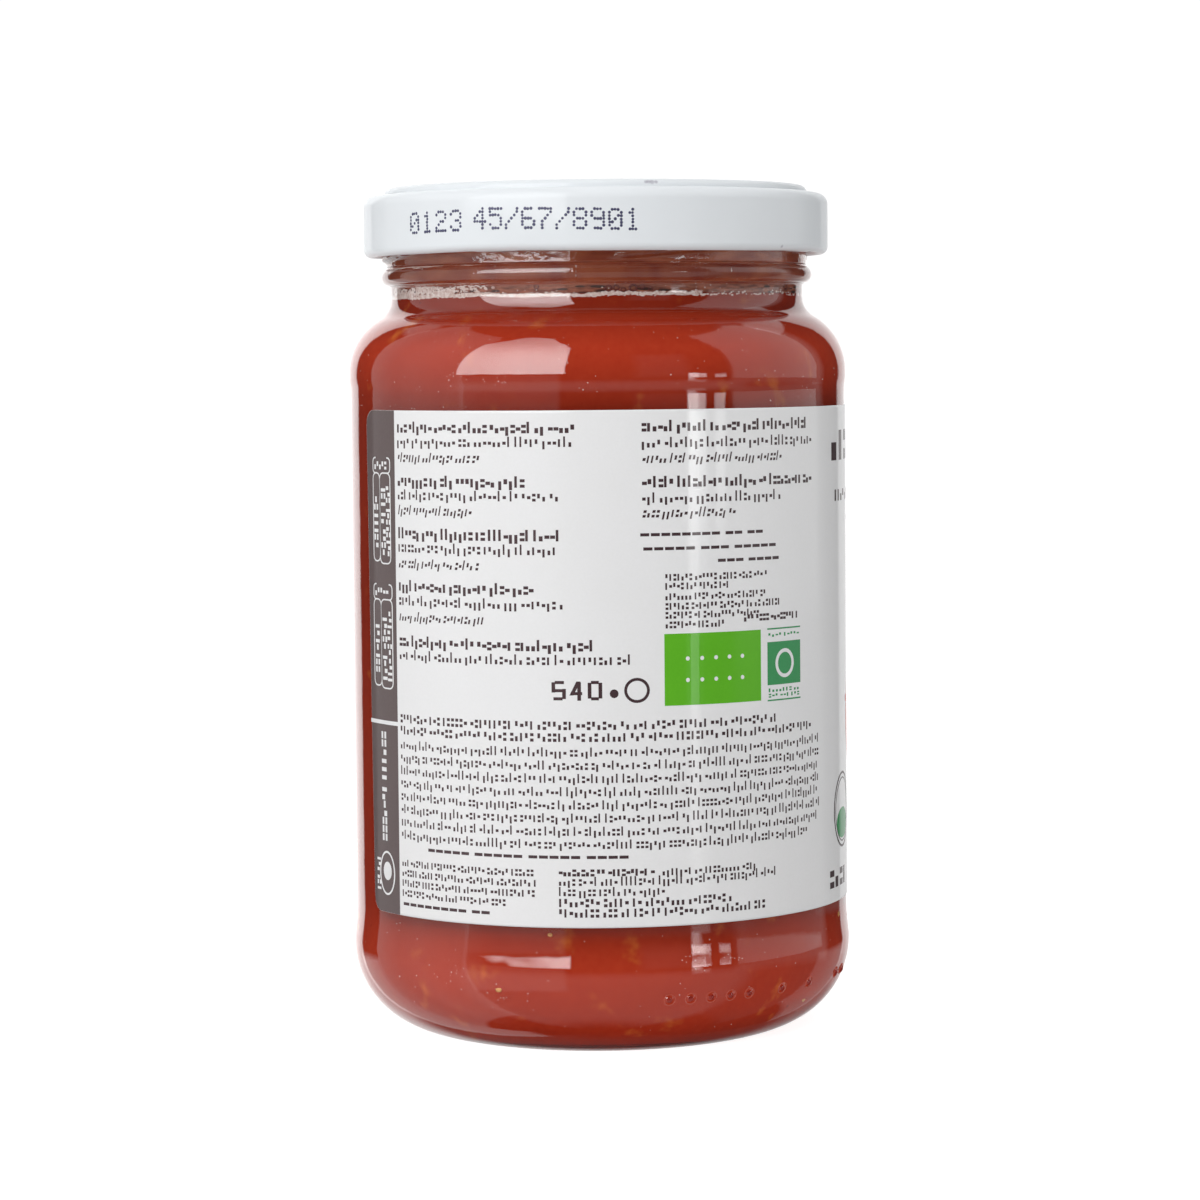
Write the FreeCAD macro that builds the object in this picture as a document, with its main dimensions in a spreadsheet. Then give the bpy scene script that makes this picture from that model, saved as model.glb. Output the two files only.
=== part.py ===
import FreeCAD, Part
import Sketcher

import math
import os

# A jar of tomato pulp: a round glass jar with a recessed label panel, a beaded and threaded neck,
# a white twist-off lid, a paper label that goes most of the way round, and the pulp inside.
# The jar stands on its foot ring. Its axis is Z, the origin is the centre of the foot plane,
# and the side where the text of the label shows faces -Y.
# Directions round the jar are in degrees from -Y, positive towards +X.

SIZES = {
    # glass, outside
    "rim_height": 118.9,
    "panel_radius": 35.25,  # the straight panel that the label is stuck to
    "heel_bulge": 0.35,  # how far the jar stands out below the panel
    "shoulder_bulge": 0.2,  # how far it stands out above the panel
    "heel_radius": 12.4,  # rounding from the foot up to the side
    "heel_land": 1.0,
    "panel_low_step": 3.2,  # height of the slope from the heel in to the panel
    "panel_high_step": 1.4,  # height of the slope from the panel out to the shoulder
    "shoulder_land": 1.0,
    "shoulder_radius": 9.2,
    "shoulder_slope": 58.0,  # how far the shoulder turns in from upright
    "neck_radius": 29.35,
    "neck_fillet": 3.2,
    "foot_width": 2.0,
    "foot_step": 0.8,
    "push_up": 2.0,  # how far the underside rises at the centre
    # glass, inside
    "wall": 2.5,
    "floor_height": 3.8,
    "floor_dome": 0.8,
    "heel_inner_radius": 9.6,
    # neck and finish, measured down from the rim
    "finish_depth": 14.85,  # from the rim down to where the neck is straight
    "finish_step": 0.55,  # how far the threaded part stands out from the neck
    "bead_depth": 11.85,
    "bead_radius": 1.3,
    "bead_inset": 0.05,  # from the neck's surface out to the centre of the bead
    "rim_corner": 1.25,
    "thread_depth": 0.85,
    "thread_half_height": 0.75,
    "thread_crest_half": 0.35,
    "thread_slope": 5.5,
    "thread_sweep": 76.0,
    "thread_start": 4.0,  # where the low end of one ridge lies
    "thread_count": 4.0,
    # raised mould dots on the heel
    "dot_ball": 0.9,
    "dot_rise": 0.35,
    "dot_tilt": 17.5,  # how far the row lies below the widest line of the heel
    # lid
    "lid_steel": 0.25,
    "lid_seal": 0.45,  # sealing compound between the steel and the rim
    "lid_skirt": 9.0,  # from the rim down to the bottom of the curl
    "lid_corner": 1.6,
    "lid_clearance": 0.25,  # between the curl and the crests of the thread
    "curl_radius": 1.0,
    "shelf_drop": 1.1,
    "ring_inset": 0.1,  # the raised ring covers the rim, this much short of its outer side
    "ring_margin": 0.05,  # and this much past its inner side
    "ring_corner": 0.9,
    "ring_slope": 1.4,
    "lid_panel_drop": 1.25,
    "button_radius": 12.0,
    "button_drop": 0.35,
    "button_slope": 1.5,
    "lug_clearance": 0.5,  # between a lug and the wall behind the threads
    "lug_gap": 0.15,  # between a lug and the ridge above it
    "lug_height": 1.1,
    "lug_sweep": 16.0,
    "lug_lead": 60.0,  # from the low end of a ridge to the middle of the lug below it
    # label
    "paper": 0.1,
    "label_low_margin": 2.2,  # bare panel below the label
    "label_high_margin": 2.4,  # bare panel above it
    "label_gap": 21.5,  # bare panel between its two ends
    "label_start": -70.0,  # direction of the edge that shows
    "label_corner": 2.0,
    # contents
    "headspace": 15.2,  # from the rim down to the pulp
    "pulp_clearance": 0.1,
}

# Directions of the mould dots, each a whole number of 5 degree steps.
DOT_DIRECTIONS = (15, 20, 25, 30, 35, 45, 55, 70, 75)

document = FreeCAD.newDocument("jar")
sheet = document.addObject("Spreadsheet::Sheet", "sizes")
sheet.Label = "sizes"
for row, (alias, number) in enumerate(SIZES.items(), start=1):
    sheet.set(f"A{row}", alias)
    sheet.set(f"B{row}", str(number))
    sheet.setAlias(f"B{row}", alias)
document.recompute()


class Size:
    """A dimension that carries both its number and the expression that keeps it up to date."""

    def __init__(self, value, text):
        self.value = float(value)
        self.text = text

    def __add__(self, other):
        other = as_size(other)
        return Size(self.value + other.value, f"({self.text} + {other.text})")

    def __sub__(self, other):
        other = as_size(other)
        return Size(self.value - other.value, f"({self.text} - {other.text})")

    def __mul__(self, other):
        other = as_size(other)
        return Size(self.value * other.value, f"({self.text} * {other.text})")

    def __truediv__(self, other):
        other = as_size(other)
        return Size(self.value / other.value, f"({self.text} / {other.text})")


def as_size(value):
    """A plain number as a Size."""
    return value if isinstance(value, Size) else Size(value, str(value))


def named(alias):
    """The Size of a named dimension in the sheet."""
    return Size(SIZES[alias], f"sizes.{alias}")


def square_root(size):
    """The square root of a Size."""
    return Size(math.sqrt(size.value), f"sqrt({size.text})")


def cosine(size):
    """The cosine of a Size in degrees."""
    return Size(math.cos(math.radians(size.value)), f"cos({size.text} * 1 deg)")


def sine(size):
    """The sine of a Size in degrees."""
    return Size(math.sin(math.radians(size.value)), f"sin({size.text} * 1 deg)")


def tangent(size):
    """The tangent of a Size in degrees."""
    return Size(math.tan(math.radians(size.value)), f"tan({size.text} * 1 deg)")


ZERO = Size(0, "0")
LEFT, RIGHT = 1, -1  # the side of the direction of travel that an arc's centre is on
FULL_TURN = 360
QUARTER_TURN = 90
RADIAN = 180 / math.pi  # in degrees
LEAST_CHANGE = 1e-6  # the least volume, in cubic millimetres, that a feature has to change


def new_body(label):
    """An empty body whose name and label are the sub-part's."""
    body = document.addObject("PartDesign::Body", label)
    body.Label = label
    return body


def origin_feature(body, role):
    """The body's own origin plane or axis with this role."""
    return next(item for item in body.Origin.OriginFeatures if item.Role == role)


def new_sketch(body, name, offset=None):
    """A sketch in the body's XZ plane: across is the radius and up is the height."""
    sketch = body.newObject("Sketcher::SketchObject", name)
    sketch.AttachmentSupport = [(origin_feature(body, "XZ_Plane"), "")]
    sketch.MapMode = "FlatFace"
    if offset:
        sketch.setExpression("AttachmentOffset", offset)
    return sketch


def arc_between(start, end, radius, side):
    """The arc of under half a turn from start to end, as an angle range about its centre."""
    across = (end - start) * 0.5
    half_chord = across.Length
    height = math.sqrt(max(radius * radius - half_chord * half_chord, 0))
    normal = FreeCAD.Vector(-across.y, across.x, 0) / half_chord
    centre = start + across + normal * height * side
    first, last = (start, end) if side == LEFT else (end, start)
    angles = [math.atan2(point.y - centre.y, point.x - centre.x) for point in (first, last)]
    circle = Part.Circle(centre, FreeCAD.Vector(0, 0, 1), radius)
    return Part.ArcOfCircle(circle, angles[0], angles[1])


def bind(sketch, kind, places, size):
    """Adds a dimension to the sketch and ties it to its expression."""
    index = sketch.addConstraint(Sketcher.Constraint(kind, *places, size.value))
    sketch.setExpression(f"Constraints[{index}]", size.text)


def draw_outline(sketch, corners):
    """Draws a closed outline through corners (across, up) and binds every corner and arc.

    A corner with two more values, a radius and a side, is reached by an arc of that radius
    whose centre is on that side of the direction of travel.
    """
    points = [FreeCAD.Vector(corner[0].value, corner[1].value, 0) for corner in corners]
    count = len(corners)
    starts = []
    ends = []
    for index in range(count):
        following = (index + 1) % count
        corner = corners[following]
        if len(corner) == 2:
            edge = Part.LineSegment(points[index], points[following])
            places = (1, 2)
        else:
            radius, side = corner[2:]
            edge = arc_between(points[index], points[following], radius.value, side)
            places = (1, 2) if side == LEFT else (2, 1)
        geometry = sketch.addGeometry(edge, False)
        starts.append((geometry, places[0]))
        ends.append((geometry, places[1]))
    for index in range(count):
        following = (index + 1) % count
        sketch.addConstraint(Sketcher.Constraint("Coincident", *ends[index], *starts[following]))
    for index, corner in enumerate(corners):
        across, up = corner[:2]
        if across is ZERO:
            sketch.addConstraint(Sketcher.Constraint("PointOnObject", *starts[index], -2))
        else:
            bind(sketch, "DistanceX", (-1, 1, *starts[index]), across)
        if up is ZERO:
            sketch.addConstraint(Sketcher.Constraint("PointOnObject", *starts[index], -1))
        else:
            bind(sketch, "DistanceY", (-1, 1, *starts[index]), up)
        if len(corner) > 2:
            bind(sketch, "Radius", (ends[index - 1][0],), corner[2])


def backwards(corners):
    """The same outline run the other way, with each arc kept on the corner that it now ends at."""
    turned = []
    for index in range(len(corners) - 1, -1, -1):
        arc = corners[index + 1][2:] if index + 1 < len(corners) else ()
        if arc:
            arc = (arc[0], -arc[1])
        turned.append((*corners[index][:2], *arc))
    return turned


def revolve(body, name, sketch, sweep=None):
    """Turns a sketch about its vertical axis, all the way or by sweep with the sketch midway."""
    turned = body.newObject("PartDesign::Revolution", name)
    turned.Profile = sketch
    turned.ReferenceAxis = (sketch, ["V_Axis"])
    if sweep is None:
        turned.Angle = FULL_TURN
    else:
        turned.Midplane = True
        turned.Angle = sweep.value
        turned.setExpression("Angle", sweep.text)
    return turned


def repeat_round(body, name, feature, count):
    """Copies a feature evenly round the body's vertical axis."""
    pattern = body.newObject("PartDesign::PolarPattern", name)
    pattern.Originals = [feature]
    pattern.Axis = (origin_feature(body, "Z_Axis"), [""])
    pattern.Angle = FULL_TURN
    pattern.Occurrences = int(count.value)
    pattern.setExpression("Occurrences", count.text)
    body.Tip = pattern
    return pattern


def turn_body(body, direction):
    """Turns a whole body about Z so that its XZ plane faces a direction round the jar."""
    turn = direction - QUARTER_TURN
    rotation = FreeCAD.Rotation(FreeCAD.Vector(0, 0, 1), turn.value)
    body.Placement = FreeCAD.Placement(FreeCAD.Vector(0, 0, 0), rotation)
    body.setExpression("Placement.Rotation.Angle", f"{turn.text} * 1 deg")


def dome_radius(spread, rise):
    """Radius of the shallow dome that rises by rise over a disc of radius spread."""
    return (spread * spread + rise * rise) / (rise * 2)


def shoulder_radius_outside():
    """Radius of the jar just under its shoulder."""
    return named("panel_radius") + named("shoulder_bulge")


def finish_radius():
    """Outer radius of the wall that carries the threads."""
    return named("neck_radius") + named("finish_step")


def mouth_radius():
    """Inner radius of the neck and the mouth."""
    return named("neck_radius") - named("wall")


def thread_crest_radius():
    """Outer radius of the thread ridges."""
    return finish_radius() + named("thread_depth")


def lid_radius():
    """Outer radius of the lid's skirt, with the curl's inner side just clear of the threads."""
    return thread_crest_radius() + named("lid_clearance") + named("curl_radius") * 2


def lid_bottom():
    """Height of the lowest line of the lid."""
    return named("rim_height") - named("lid_skirt")


def shoulder_parts():
    """The shoulder from the side to the neck: an arc, a straight slope and a fillet.

    The slope is as long as the way in from the side to the neck needs, past what the arc and
    the fillet take up. Gives its length, the height where the arc starts and where the neck is
    straight again.
    """
    angle = named("shoulder_slope")
    turn = named("shoulder_radius")
    fillet = named("neck_fillet")
    way_in = shoulder_radius_outside() - named("neck_radius")
    taken = (turn + fillet) * (as_size(1) - cosine(angle))
    slope = (way_in - taken) / sine(angle)
    top = named("rim_height") - named("finish_depth")
    bottom = top - (turn + fillet) * sine(angle) - slope * cosine(angle)
    return slope, bottom, top


def shoulder_corners(depth):
    """The corners of the shoulder, from its foot to the neck, depth inside the outer surface."""
    angle = named("shoulder_slope")
    turn = named("shoulder_radius")
    fillet = named("neck_fillet")
    slope, bottom, top = shoulder_parts()
    centre = shoulder_radius_outside() - turn
    inner_turn = turn - depth
    arc_end = (centre + inner_turn * cosine(angle), bottom + inner_turn * sine(angle))
    slope_end = (arc_end[0] - slope * sine(angle), arc_end[1] + slope * cosine(angle))
    return [
        (shoulder_radius_outside() - depth, bottom),
        (*arc_end, inner_turn, LEFT),
        slope_end,
        (named("neck_radius") - depth, top, fillet + depth, RIGHT),
    ]


def cavity(gap):
    """The inside of the glass from the middle of the floor up to the neck, gap clear of it."""
    side = shoulder_radius_outside() - named("wall") - gap
    turn = named("heel_inner_radius") - gap
    floor_radius = side - turn
    floor = named("floor_height") + gap
    dome = dome_radius(floor_radius, named("floor_dome"))
    return [
        (ZERO, floor + named("floor_dome")),
        (floor_radius, floor, dome, RIGHT),
        (side, floor + turn, turn, LEFT),
        *shoulder_corners(named("wall") + gap),
    ]


def panel_heights():
    """The lowest and highest height of the straight panel."""
    bottom = named("heel_radius") + named("heel_land") + named("panel_low_step")
    top = shoulder_parts()[1] - named("shoulder_land") - named("panel_high_step")
    return bottom, top


def glass_outline():
    """The jar's wall: underside, heel, panel, shoulder, bead, rim and back down the inside."""
    heel_outside = named("panel_radius") + named("heel_bulge")
    foot_radius = heel_outside - named("heel_radius")
    foot_inner = foot_radius - named("foot_width")
    step_inner = foot_inner - named("foot_step")
    dome = dome_radius(step_inner, named("push_up") - named("foot_step"))
    panel_bottom, panel_top = panel_heights()
    bead = named("bead_radius")
    bead_height = named("rim_height") - named("bead_depth")
    above = named("finish_step") - named("bead_inset")
    bead_bottom = bead_height - square_root(bead * bead - named("bead_inset") * named("bead_inset"))
    bead_top = bead_height + square_root(bead * bead - above * above)
    corner = named("rim_corner")
    outside = [
        (ZERO, named("push_up")),
        (step_inner, named("foot_step"), dome, RIGHT),
        (foot_inner, ZERO),
        (foot_radius, ZERO),
        (heel_outside, named("heel_radius"), named("heel_radius"), LEFT),
        (heel_outside, named("heel_radius") + named("heel_land")),
        (named("panel_radius"), panel_bottom),
        (named("panel_radius"), panel_top),
        (shoulder_radius_outside(), panel_top + named("panel_high_step")),
        *shoulder_corners(ZERO),
        (named("neck_radius"), bead_bottom),
        (finish_radius(), bead_top, bead, LEFT),
        (finish_radius(), named("rim_height") - corner),
        (finish_radius() - corner, named("rim_height"), corner, LEFT),
        (mouth_radius() + corner, named("rim_height")),
        (mouth_radius(), named("rim_height") - corner, corner, LEFT),
    ]
    return outside + backwards(cavity(ZERO))


def thread_middle():
    """Height of the middle of each ridge, which puts the lugs just below the ridges' undersides."""
    away = named("lug_lead") - named("lug_sweep") / 2 - named("thread_sweep") / 2
    climb = finish_radius() * sine(away) * tangent(named("thread_slope"))
    lug_top = lid_bottom() + named("lug_height")
    return lug_top + named("lug_gap") + named("thread_half_height") - climb


def make_glass():
    """The glass jar with its four thread ridges and its row of mould dots."""
    body = new_body("glass_jar")
    wall = new_sketch(body, "glass_section")
    draw_outline(wall, glass_outline())
    revolve(body, "glass_wall", wall)
    document.recompute()

    # A ridge is a short sweep about an axis that leans by the slope of the thread, so it climbs.
    sweep = named("thread_sweep")
    direction = named("thread_start") + sweep / 2 - QUARTER_TURN
    offset = (
        f"placement(vector(0; {thread_middle().text}; 0);"
        f" rotation(vector(0; 1; 0); {direction.text} * 1 deg)"
        f" * rotation(vector(1; 0; 0); {named('thread_slope').text} * 1 deg))"
    )
    section = new_sketch(body, "thread_section", offset)
    root = finish_radius() - named("finish_step")
    half = named("thread_half_height")
    crest = thread_crest_radius()
    crest_half = named("thread_crest_half")
    draw_outline(
        section,
        [
            (root, ZERO - half),
            (crest, ZERO - crest_half),
            (crest, crest_half),
            (root, half),
        ],
    )
    ridge = revolve(body, "thread_ridge", section, sweep)
    document.recompute()
    repeat_round(body, "thread_ridges", ridge, named("thread_count"))
    document.recompute()

    # The dots are balls sunk in the heel, so only their caps stand out.
    inset = named("heel_radius") - named("dot_ball") + named("dot_rise")
    heel_centre = named("panel_radius") + named("heel_bulge") - named("heel_radius")
    ring = heel_centre + inset * cosine(named("dot_tilt"))
    height = named("heel_radius") - inset * sine(named("dot_tilt"))
    for number, dot_direction in enumerate(DOT_DIRECTIONS, start=1):
        ball = body.newObject("PartDesign::AdditiveSphere", f"mould_dot_{number}")
        ball.AttachmentSupport = [(origin_feature(body, "XY_Plane"), "")]
        ball.MapMode = "FlatFace"
        ball.Radius = SIZES["dot_ball"]
        ball.setExpression("Radius", named("dot_ball").text)
        turned = as_size(dot_direction - QUARTER_TURN)
        place = f"vector({(ring * cosine(turned)).text}; {(ring * sine(turned)).text}; {height.text})"
        # Each ball is turned so that its seam is inside the glass.
        turn = f"rotation(vector(0; 0; 1); {dot_direction + QUARTER_TURN} * 1 deg)"
        ball.setExpression("AttachmentOffset", f"placement({place}; {turn})")
        document.recompute()
    return body


def lid_outline():
    """The pressed lid: top side from the middle out, down the skirt, round the curl and back."""
    steel = named("lid_steel")
    seal = named("lid_seal")
    rim = named("rim_height")
    crest = rim + seal + steel
    panel = crest - named("lid_panel_drop")
    button = panel - named("button_drop")
    button_edge = named("button_radius") + named("button_slope")
    ring_outer = finish_radius() - named("ring_inset")
    ring_inner = mouth_radius() - named("ring_margin")
    panel_edge = ring_inner - named("ring_slope")
    corner = named("ring_corner")
    shelf = crest - named("shelf_drop")
    turn = named("lid_corner")
    curl = named("curl_radius")
    bottom = lid_bottom()
    outside = lid_radius()
    seal_edge = finish_radius() - named("rim_corner") + seal + steel
    return [
        (ZERO, button),
        (named("button_radius"), button),
        (button_edge, panel),
        (panel_edge, panel),
        (ring_inner, crest),
        (ring_outer - corner, crest),
        (ring_outer, crest - corner, corner, RIGHT),
        (ring_outer, shelf),
        (outside - turn, shelf),
        (outside, shelf - turn, turn, RIGHT),
        (outside, bottom + curl),
        (outside - curl, bottom, curl, RIGHT),
        (outside - curl * 2, bottom + curl, curl, RIGHT),
        (outside - curl, bottom + curl * 2, curl, RIGHT),
        (outside - steel, bottom + curl * 2),
        (outside - steel, shelf - turn),
        (outside - turn, shelf - steel, turn - steel, LEFT),
        (seal_edge + seal + steel, shelf - steel),
        (seal_edge, rim),
        (ring_inner, rim),
        (panel_edge + steel, panel - steel),
        (button_edge, panel - steel),
        (named("button_radius"), button - steel),
        (ZERO, button - steel),
    ]


def make_lid():
    """The steel twist-off lid, seated on the rim, with four lugs under the thread ridges."""
    body = new_body("lid")
    shell = new_sketch(body, "lid_section")
    draw_outline(shell, lid_outline())
    revolve(body, "lid_shell", shell)
    document.recompute()
    section = new_sketch(body, "lug_section")
    inner = finish_radius() + named("lug_clearance")
    outer = lid_radius() - named("curl_radius")
    bottom = lid_bottom()
    top = bottom + named("lug_height")
    draw_outline(section, [(inner, bottom), (outer, bottom), (outer, top), (inner, top)])
    lug = revolve(body, "lug", section, named("lug_sweep"))
    document.recompute()
    repeat_round(body, "lugs", lug, named("thread_count"))
    turn_body(body, named("thread_start") + named("lug_lead"))
    document.recompute()
    return body


def make_label():
    """The paper label: a band round the panel with a gap at the back and rounded corners."""
    body = new_body("label")
    section = new_sketch(body, "label_section")
    inner = named("panel_radius")
    outer = inner + named("paper")
    panel_bottom, panel_top = panel_heights()
    bottom = panel_bottom + named("label_low_margin")
    top = panel_top - named("label_high_margin")
    draw_outline(section, [(inner, bottom), (outer, bottom), (outer, top), (inner, top)])
    sweep = as_size(FULL_TURN) - named("label_gap") / inner * RADIAN
    band = revolve(body, "label_band", section, sweep)
    document.recompute()
    ends = [
        f"Edge{number}"
        for number, edge in enumerate(band.Shape.Edges, start=1)
        if abs(edge.Length - SIZES["paper"]) < SIZES["paper"] / 100
    ]
    rounded = body.newObject("PartDesign::Fillet", "label_corners")
    rounded.Base = (band, ends)
    rounded.Radius = SIZES["label_corner"]
    rounded.setExpression("Radius", named("label_corner").text)
    body.Tip = rounded
    turn_body(body, named("label_start") + sweep / 2)
    document.recompute()
    return body


def make_pulp():
    """The pulp: the whole inside of the jar, cut off at its level."""
    body = new_body("tomato_pulp")
    section = new_sketch(body, "inside_section")
    inside = cavity(named("pulp_clearance"))
    mouth = inside[-1][0]
    rim = named("rim_height")
    draw_outline(section, inside + [(mouth, rim), (ZERO, rim)])
    revolve(body, "inside", section)
    document.recompute()
    above = new_sketch(body, "above_level")
    level = rim - named("headspace")
    reach = mouth + named("neck_fillet")
    top = rim + named("headspace")
    draw_outline(above, [(ZERO, level), (reach, level), (reach, top), (ZERO, top)])
    cut = body.newObject("PartDesign::Groove", "headspace_cut")
    cut.Profile = above
    cut.ReferenceAxis = (above, ["V_Axis"])
    cut.Angle = FULL_TURN
    document.recompute()
    return body


def check(bodies):
    """Stops on any failed object, any bad solid and any feature that changed nothing."""
    for item in document.Objects:
        state = " ".join(item.State)
        if "Invalid" in state or "Error" in state:
            raise RuntimeError(f"{item.Label} failed: {state}")
    for body in bodies:
        shape = body.Shape
        if shape.isNull() or not shape.isValid() or len(shape.Solids) != 1:
            raise RuntimeError(f"{body.Label} isn't one valid solid")
        solids = [item for item in body.Group if item.isDerivedFrom("PartDesign::Feature")]
        volumes = [item.Shape.Volume for item in solids]
        for item, before, after in zip(solids[1:], volumes, volumes[1:]):
            if abs(after - before) < LEAST_CHANGE:
                raise RuntimeError(f"{item.Label} changed nothing")
        box = shape.BoundBox
        print(
            f"{body.Label}: {shape.Volume / 1000:.2f} cm3,"
            f" x {box.XMin:.2f}..{box.XMax:.2f}, y {box.YMin:.2f}..{box.YMax:.2f},"
            f" z {box.ZMin:.2f}..{box.ZMax:.2f}"
        )


def main():
    """Builds the four sub-parts, checks them and writes one STEP file for each."""
    bodies = [make_glass(), make_lid(), make_label(), make_pulp()]
    check(bodies)
    os.makedirs("parts", exist_ok=True)
    for body in bodies:
        body.Shape.exportStep(f"parts/{body.Label}.step")


main()
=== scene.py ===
# %% [markdown]
# # A jar of tomato pulp
# A full twist-off jar is four things: a thick glass, the pulp that fills it, a pressed steel lid
# and a paper label. Everything round on it is a profile turned about one upright axis, so most
# pieces here are the same small formula with another profile. Sizes are in millimetres while a
# shape is worked out, and become metres only when it is put into a mesh. Directions round the
# jar are in degrees from -Y, the side that faces us, positive towards +X.

# %% Load the frame
import math

import bmesh
import bpy
import numpy as np
from mathutils import Euler, Matrix, Vector


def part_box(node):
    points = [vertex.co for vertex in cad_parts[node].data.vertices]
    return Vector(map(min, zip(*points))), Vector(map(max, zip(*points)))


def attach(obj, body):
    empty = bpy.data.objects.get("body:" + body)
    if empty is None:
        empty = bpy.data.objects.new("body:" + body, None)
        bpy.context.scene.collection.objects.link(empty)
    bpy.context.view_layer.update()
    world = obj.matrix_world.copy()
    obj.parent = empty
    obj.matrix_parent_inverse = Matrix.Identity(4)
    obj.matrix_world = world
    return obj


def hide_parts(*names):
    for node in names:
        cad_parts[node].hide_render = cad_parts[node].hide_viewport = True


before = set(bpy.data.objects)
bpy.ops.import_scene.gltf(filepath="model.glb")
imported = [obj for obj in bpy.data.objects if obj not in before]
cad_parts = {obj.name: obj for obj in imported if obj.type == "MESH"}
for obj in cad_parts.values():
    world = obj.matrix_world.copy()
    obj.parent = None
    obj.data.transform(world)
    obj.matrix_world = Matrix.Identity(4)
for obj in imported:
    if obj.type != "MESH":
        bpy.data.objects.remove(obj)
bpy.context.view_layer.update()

scene = bpy.context.scene
MM = 0.001  # one millimetre in metres
rng = np.random.default_rng(12)


def box_mm(node):
    """The lowest and highest corner of a CAD node, in millimetres."""
    low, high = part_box(node)
    return np.array(low) / MM, np.array(high) / MM


glass_low, glass_high = box_mm("glass_jar")
lid_low, lid_high = box_mm("lid")
label_low, label_high = box_mm("label")
pulp_high = box_mm("tomato_pulp")[1]
print("frame nodes:", sorted(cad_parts))
print("jar", glass_high.round(2), "lid", lid_high.round(2), "label", label_high.round(2))

# %% [markdown]
# ## Sizes that the pieces share
# The frame gives the widest radius, the rim, the lid, the label and the level of the pulp. What
# the boxes can't tell, such as how far the panel is set back, is named here once.

# %% Shared sizes
heel_radius = -glass_low[1]  # the widest part of the glass
rim = glass_high[2]
label_radius = -label_low[1]
label_bottom, label_top = label_low[2], label_high[2]
lid_radius = -lid_low[1]
lid_bottom, lid_top = lid_low[2], lid_high[2]
level = pulp_high[2]

paper = 0.1  # thickness of the label
panel_radius = label_radius - paper
shoulder_radius = panel_radius + 0.2
neck_radius = 29.35
thread_wall_radius = neck_radius + 0.55
wall = 2.5
mouth_radius = neck_radius - wall
panel_bottom = label_bottom - 2.2
panel_top = label_top + 2.4
shoulder_slope = math.radians(58)  # how far the shoulder turns in from upright
shoulder_round = 9.2
neck_round = 3.2
neck_start = rim - 14.85
into_wall = 0.15  # how far the contents reach into the glass, so that no air shows
print("neck starts at", round(neck_start, 2), "and the pulp stands at", round(level, 2))

# %% [markdown]
# ## Outlines and turned surfaces
# An outline is a short list of corners, each with the radius that rounds it. The arc that rounds
# a corner starts its radius times the tangent of half the turn before the corner. Glass needs
# even shading right up to each bend, so every straight run also gets a point near both its ends.

# %% Helpers for outlines
SIDE_STEP = 0.25


def rounded(corners, step=0.5):
    """Points (across, up) along straight runs through the corners, each rounded by its radius.

    For a turn of a degrees the arc begins radius * tan(a / 2) before the corner, about a centre
    one radius to the side that the outline turns to, and is cut into steps no longer than step.
    """
    corners = [(*corner, 0.0)[:3] for corner in corners]
    points = [np.array(corners[0][:2], float)]
    for before, here, after in zip(corners, corners[1:], corners[2:]):
        place = np.array(here[:2], float)
        way_in = place - before[:2]
        way_out = np.array(after[:2], float) - place
        way_in /= np.linalg.norm(way_in)
        way_out /= np.linalg.norm(way_out)
        turn = math.atan2(way_in[0] * way_out[1] - way_in[1] * way_out[0], way_in @ way_out)
        radius = here[2]
        start = place - way_in * radius * abs(math.tan(turn / 2))
        side = math.copysign(1.0, turn)
        normal = np.array([-way_in[1], way_in[0]]) * side
        count = max(1, math.ceil(radius * abs(turn) / step)) + (2 if radius else 0)
        along = np.linspace(0.0, abs(turn), count + 1) if radius else np.zeros(1)
        points.extend(
            start + way_in * radius * math.sin(a) + normal * radius * (1 - math.cos(a)) for a in along
        )
    points.append(np.array(corners[-1][:2], float))
    return supported(np.array(points), step)


def supported(points, step):
    """The same outline with a point close to both ends of every long straight run."""
    kept = [points[0]]
    for start, end in zip(points, points[1:]):
        length = np.linalg.norm(end - start)
        if length > 4 * step:
            share = SIDE_STEP * step / length * 2
            middle = int(length // 6)
            inside = np.linspace(share, 1 - share, middle + 2)
            kept.extend(start + (end - start) * part for part in inside)
        kept.append(end)
    return np.array(kept)


def turned(across, up, directions):
    """The surface across * sin(direction), -across * cos(direction), up, for whole arrays."""
    angle = np.radians(directions)
    return np.stack([across * np.sin(angle), -across * np.cos(angle), up + 0 * angle], axis=-1)


def lathe(outline, directions):
    """A grid of an outline turned about the upright axis: one row a point, one column a direction."""
    return turned(outline[:, :1], outline[:, 1:], directions[None, :])


def full_turn(count):
    """That many even directions round the jar, without the last, which is the first again."""
    return np.linspace(-180.0, 180.0, count, endpoint=False)


print("a quarter round of 2 mm has", len(rounded([(0, 0), (2, 0, 2), (2, 2)])), "points")

# %% [markdown]
# ## From grid to piece
# Blender stores a mesh as flat arrays, so a grid of points goes in with foreach_set in one go. A
# row that sits on the axis is a pole: its points are merged, and its squares become triangles.
# The signed volume (the sum of each face's centre dotted with its area vector) tells whether the
# faces point out, and if not they are all turned over at once.

# %% Helpers for meshes
def grid_faces(rows, columns, wrap_rows=False, wrap_columns=True):
    """Squares between neighbours on a grid, as an array of four corner numbers a face."""
    row = np.arange(rows if wrap_rows else rows - 1)[:, None]
    column = np.arange(columns if wrap_columns else columns - 1)[None, :]
    next_row = (row + 1) % rows
    next_column = (column + 1) % columns
    corners = [
        row * columns + column,
        row * columns + next_column,
        next_row * columns + next_column,
        next_row * columns + column,
    ]
    return np.stack([np.broadcast_to(c, (row.size, column.size)) for c in corners], -1).reshape(-1, 4)


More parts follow.
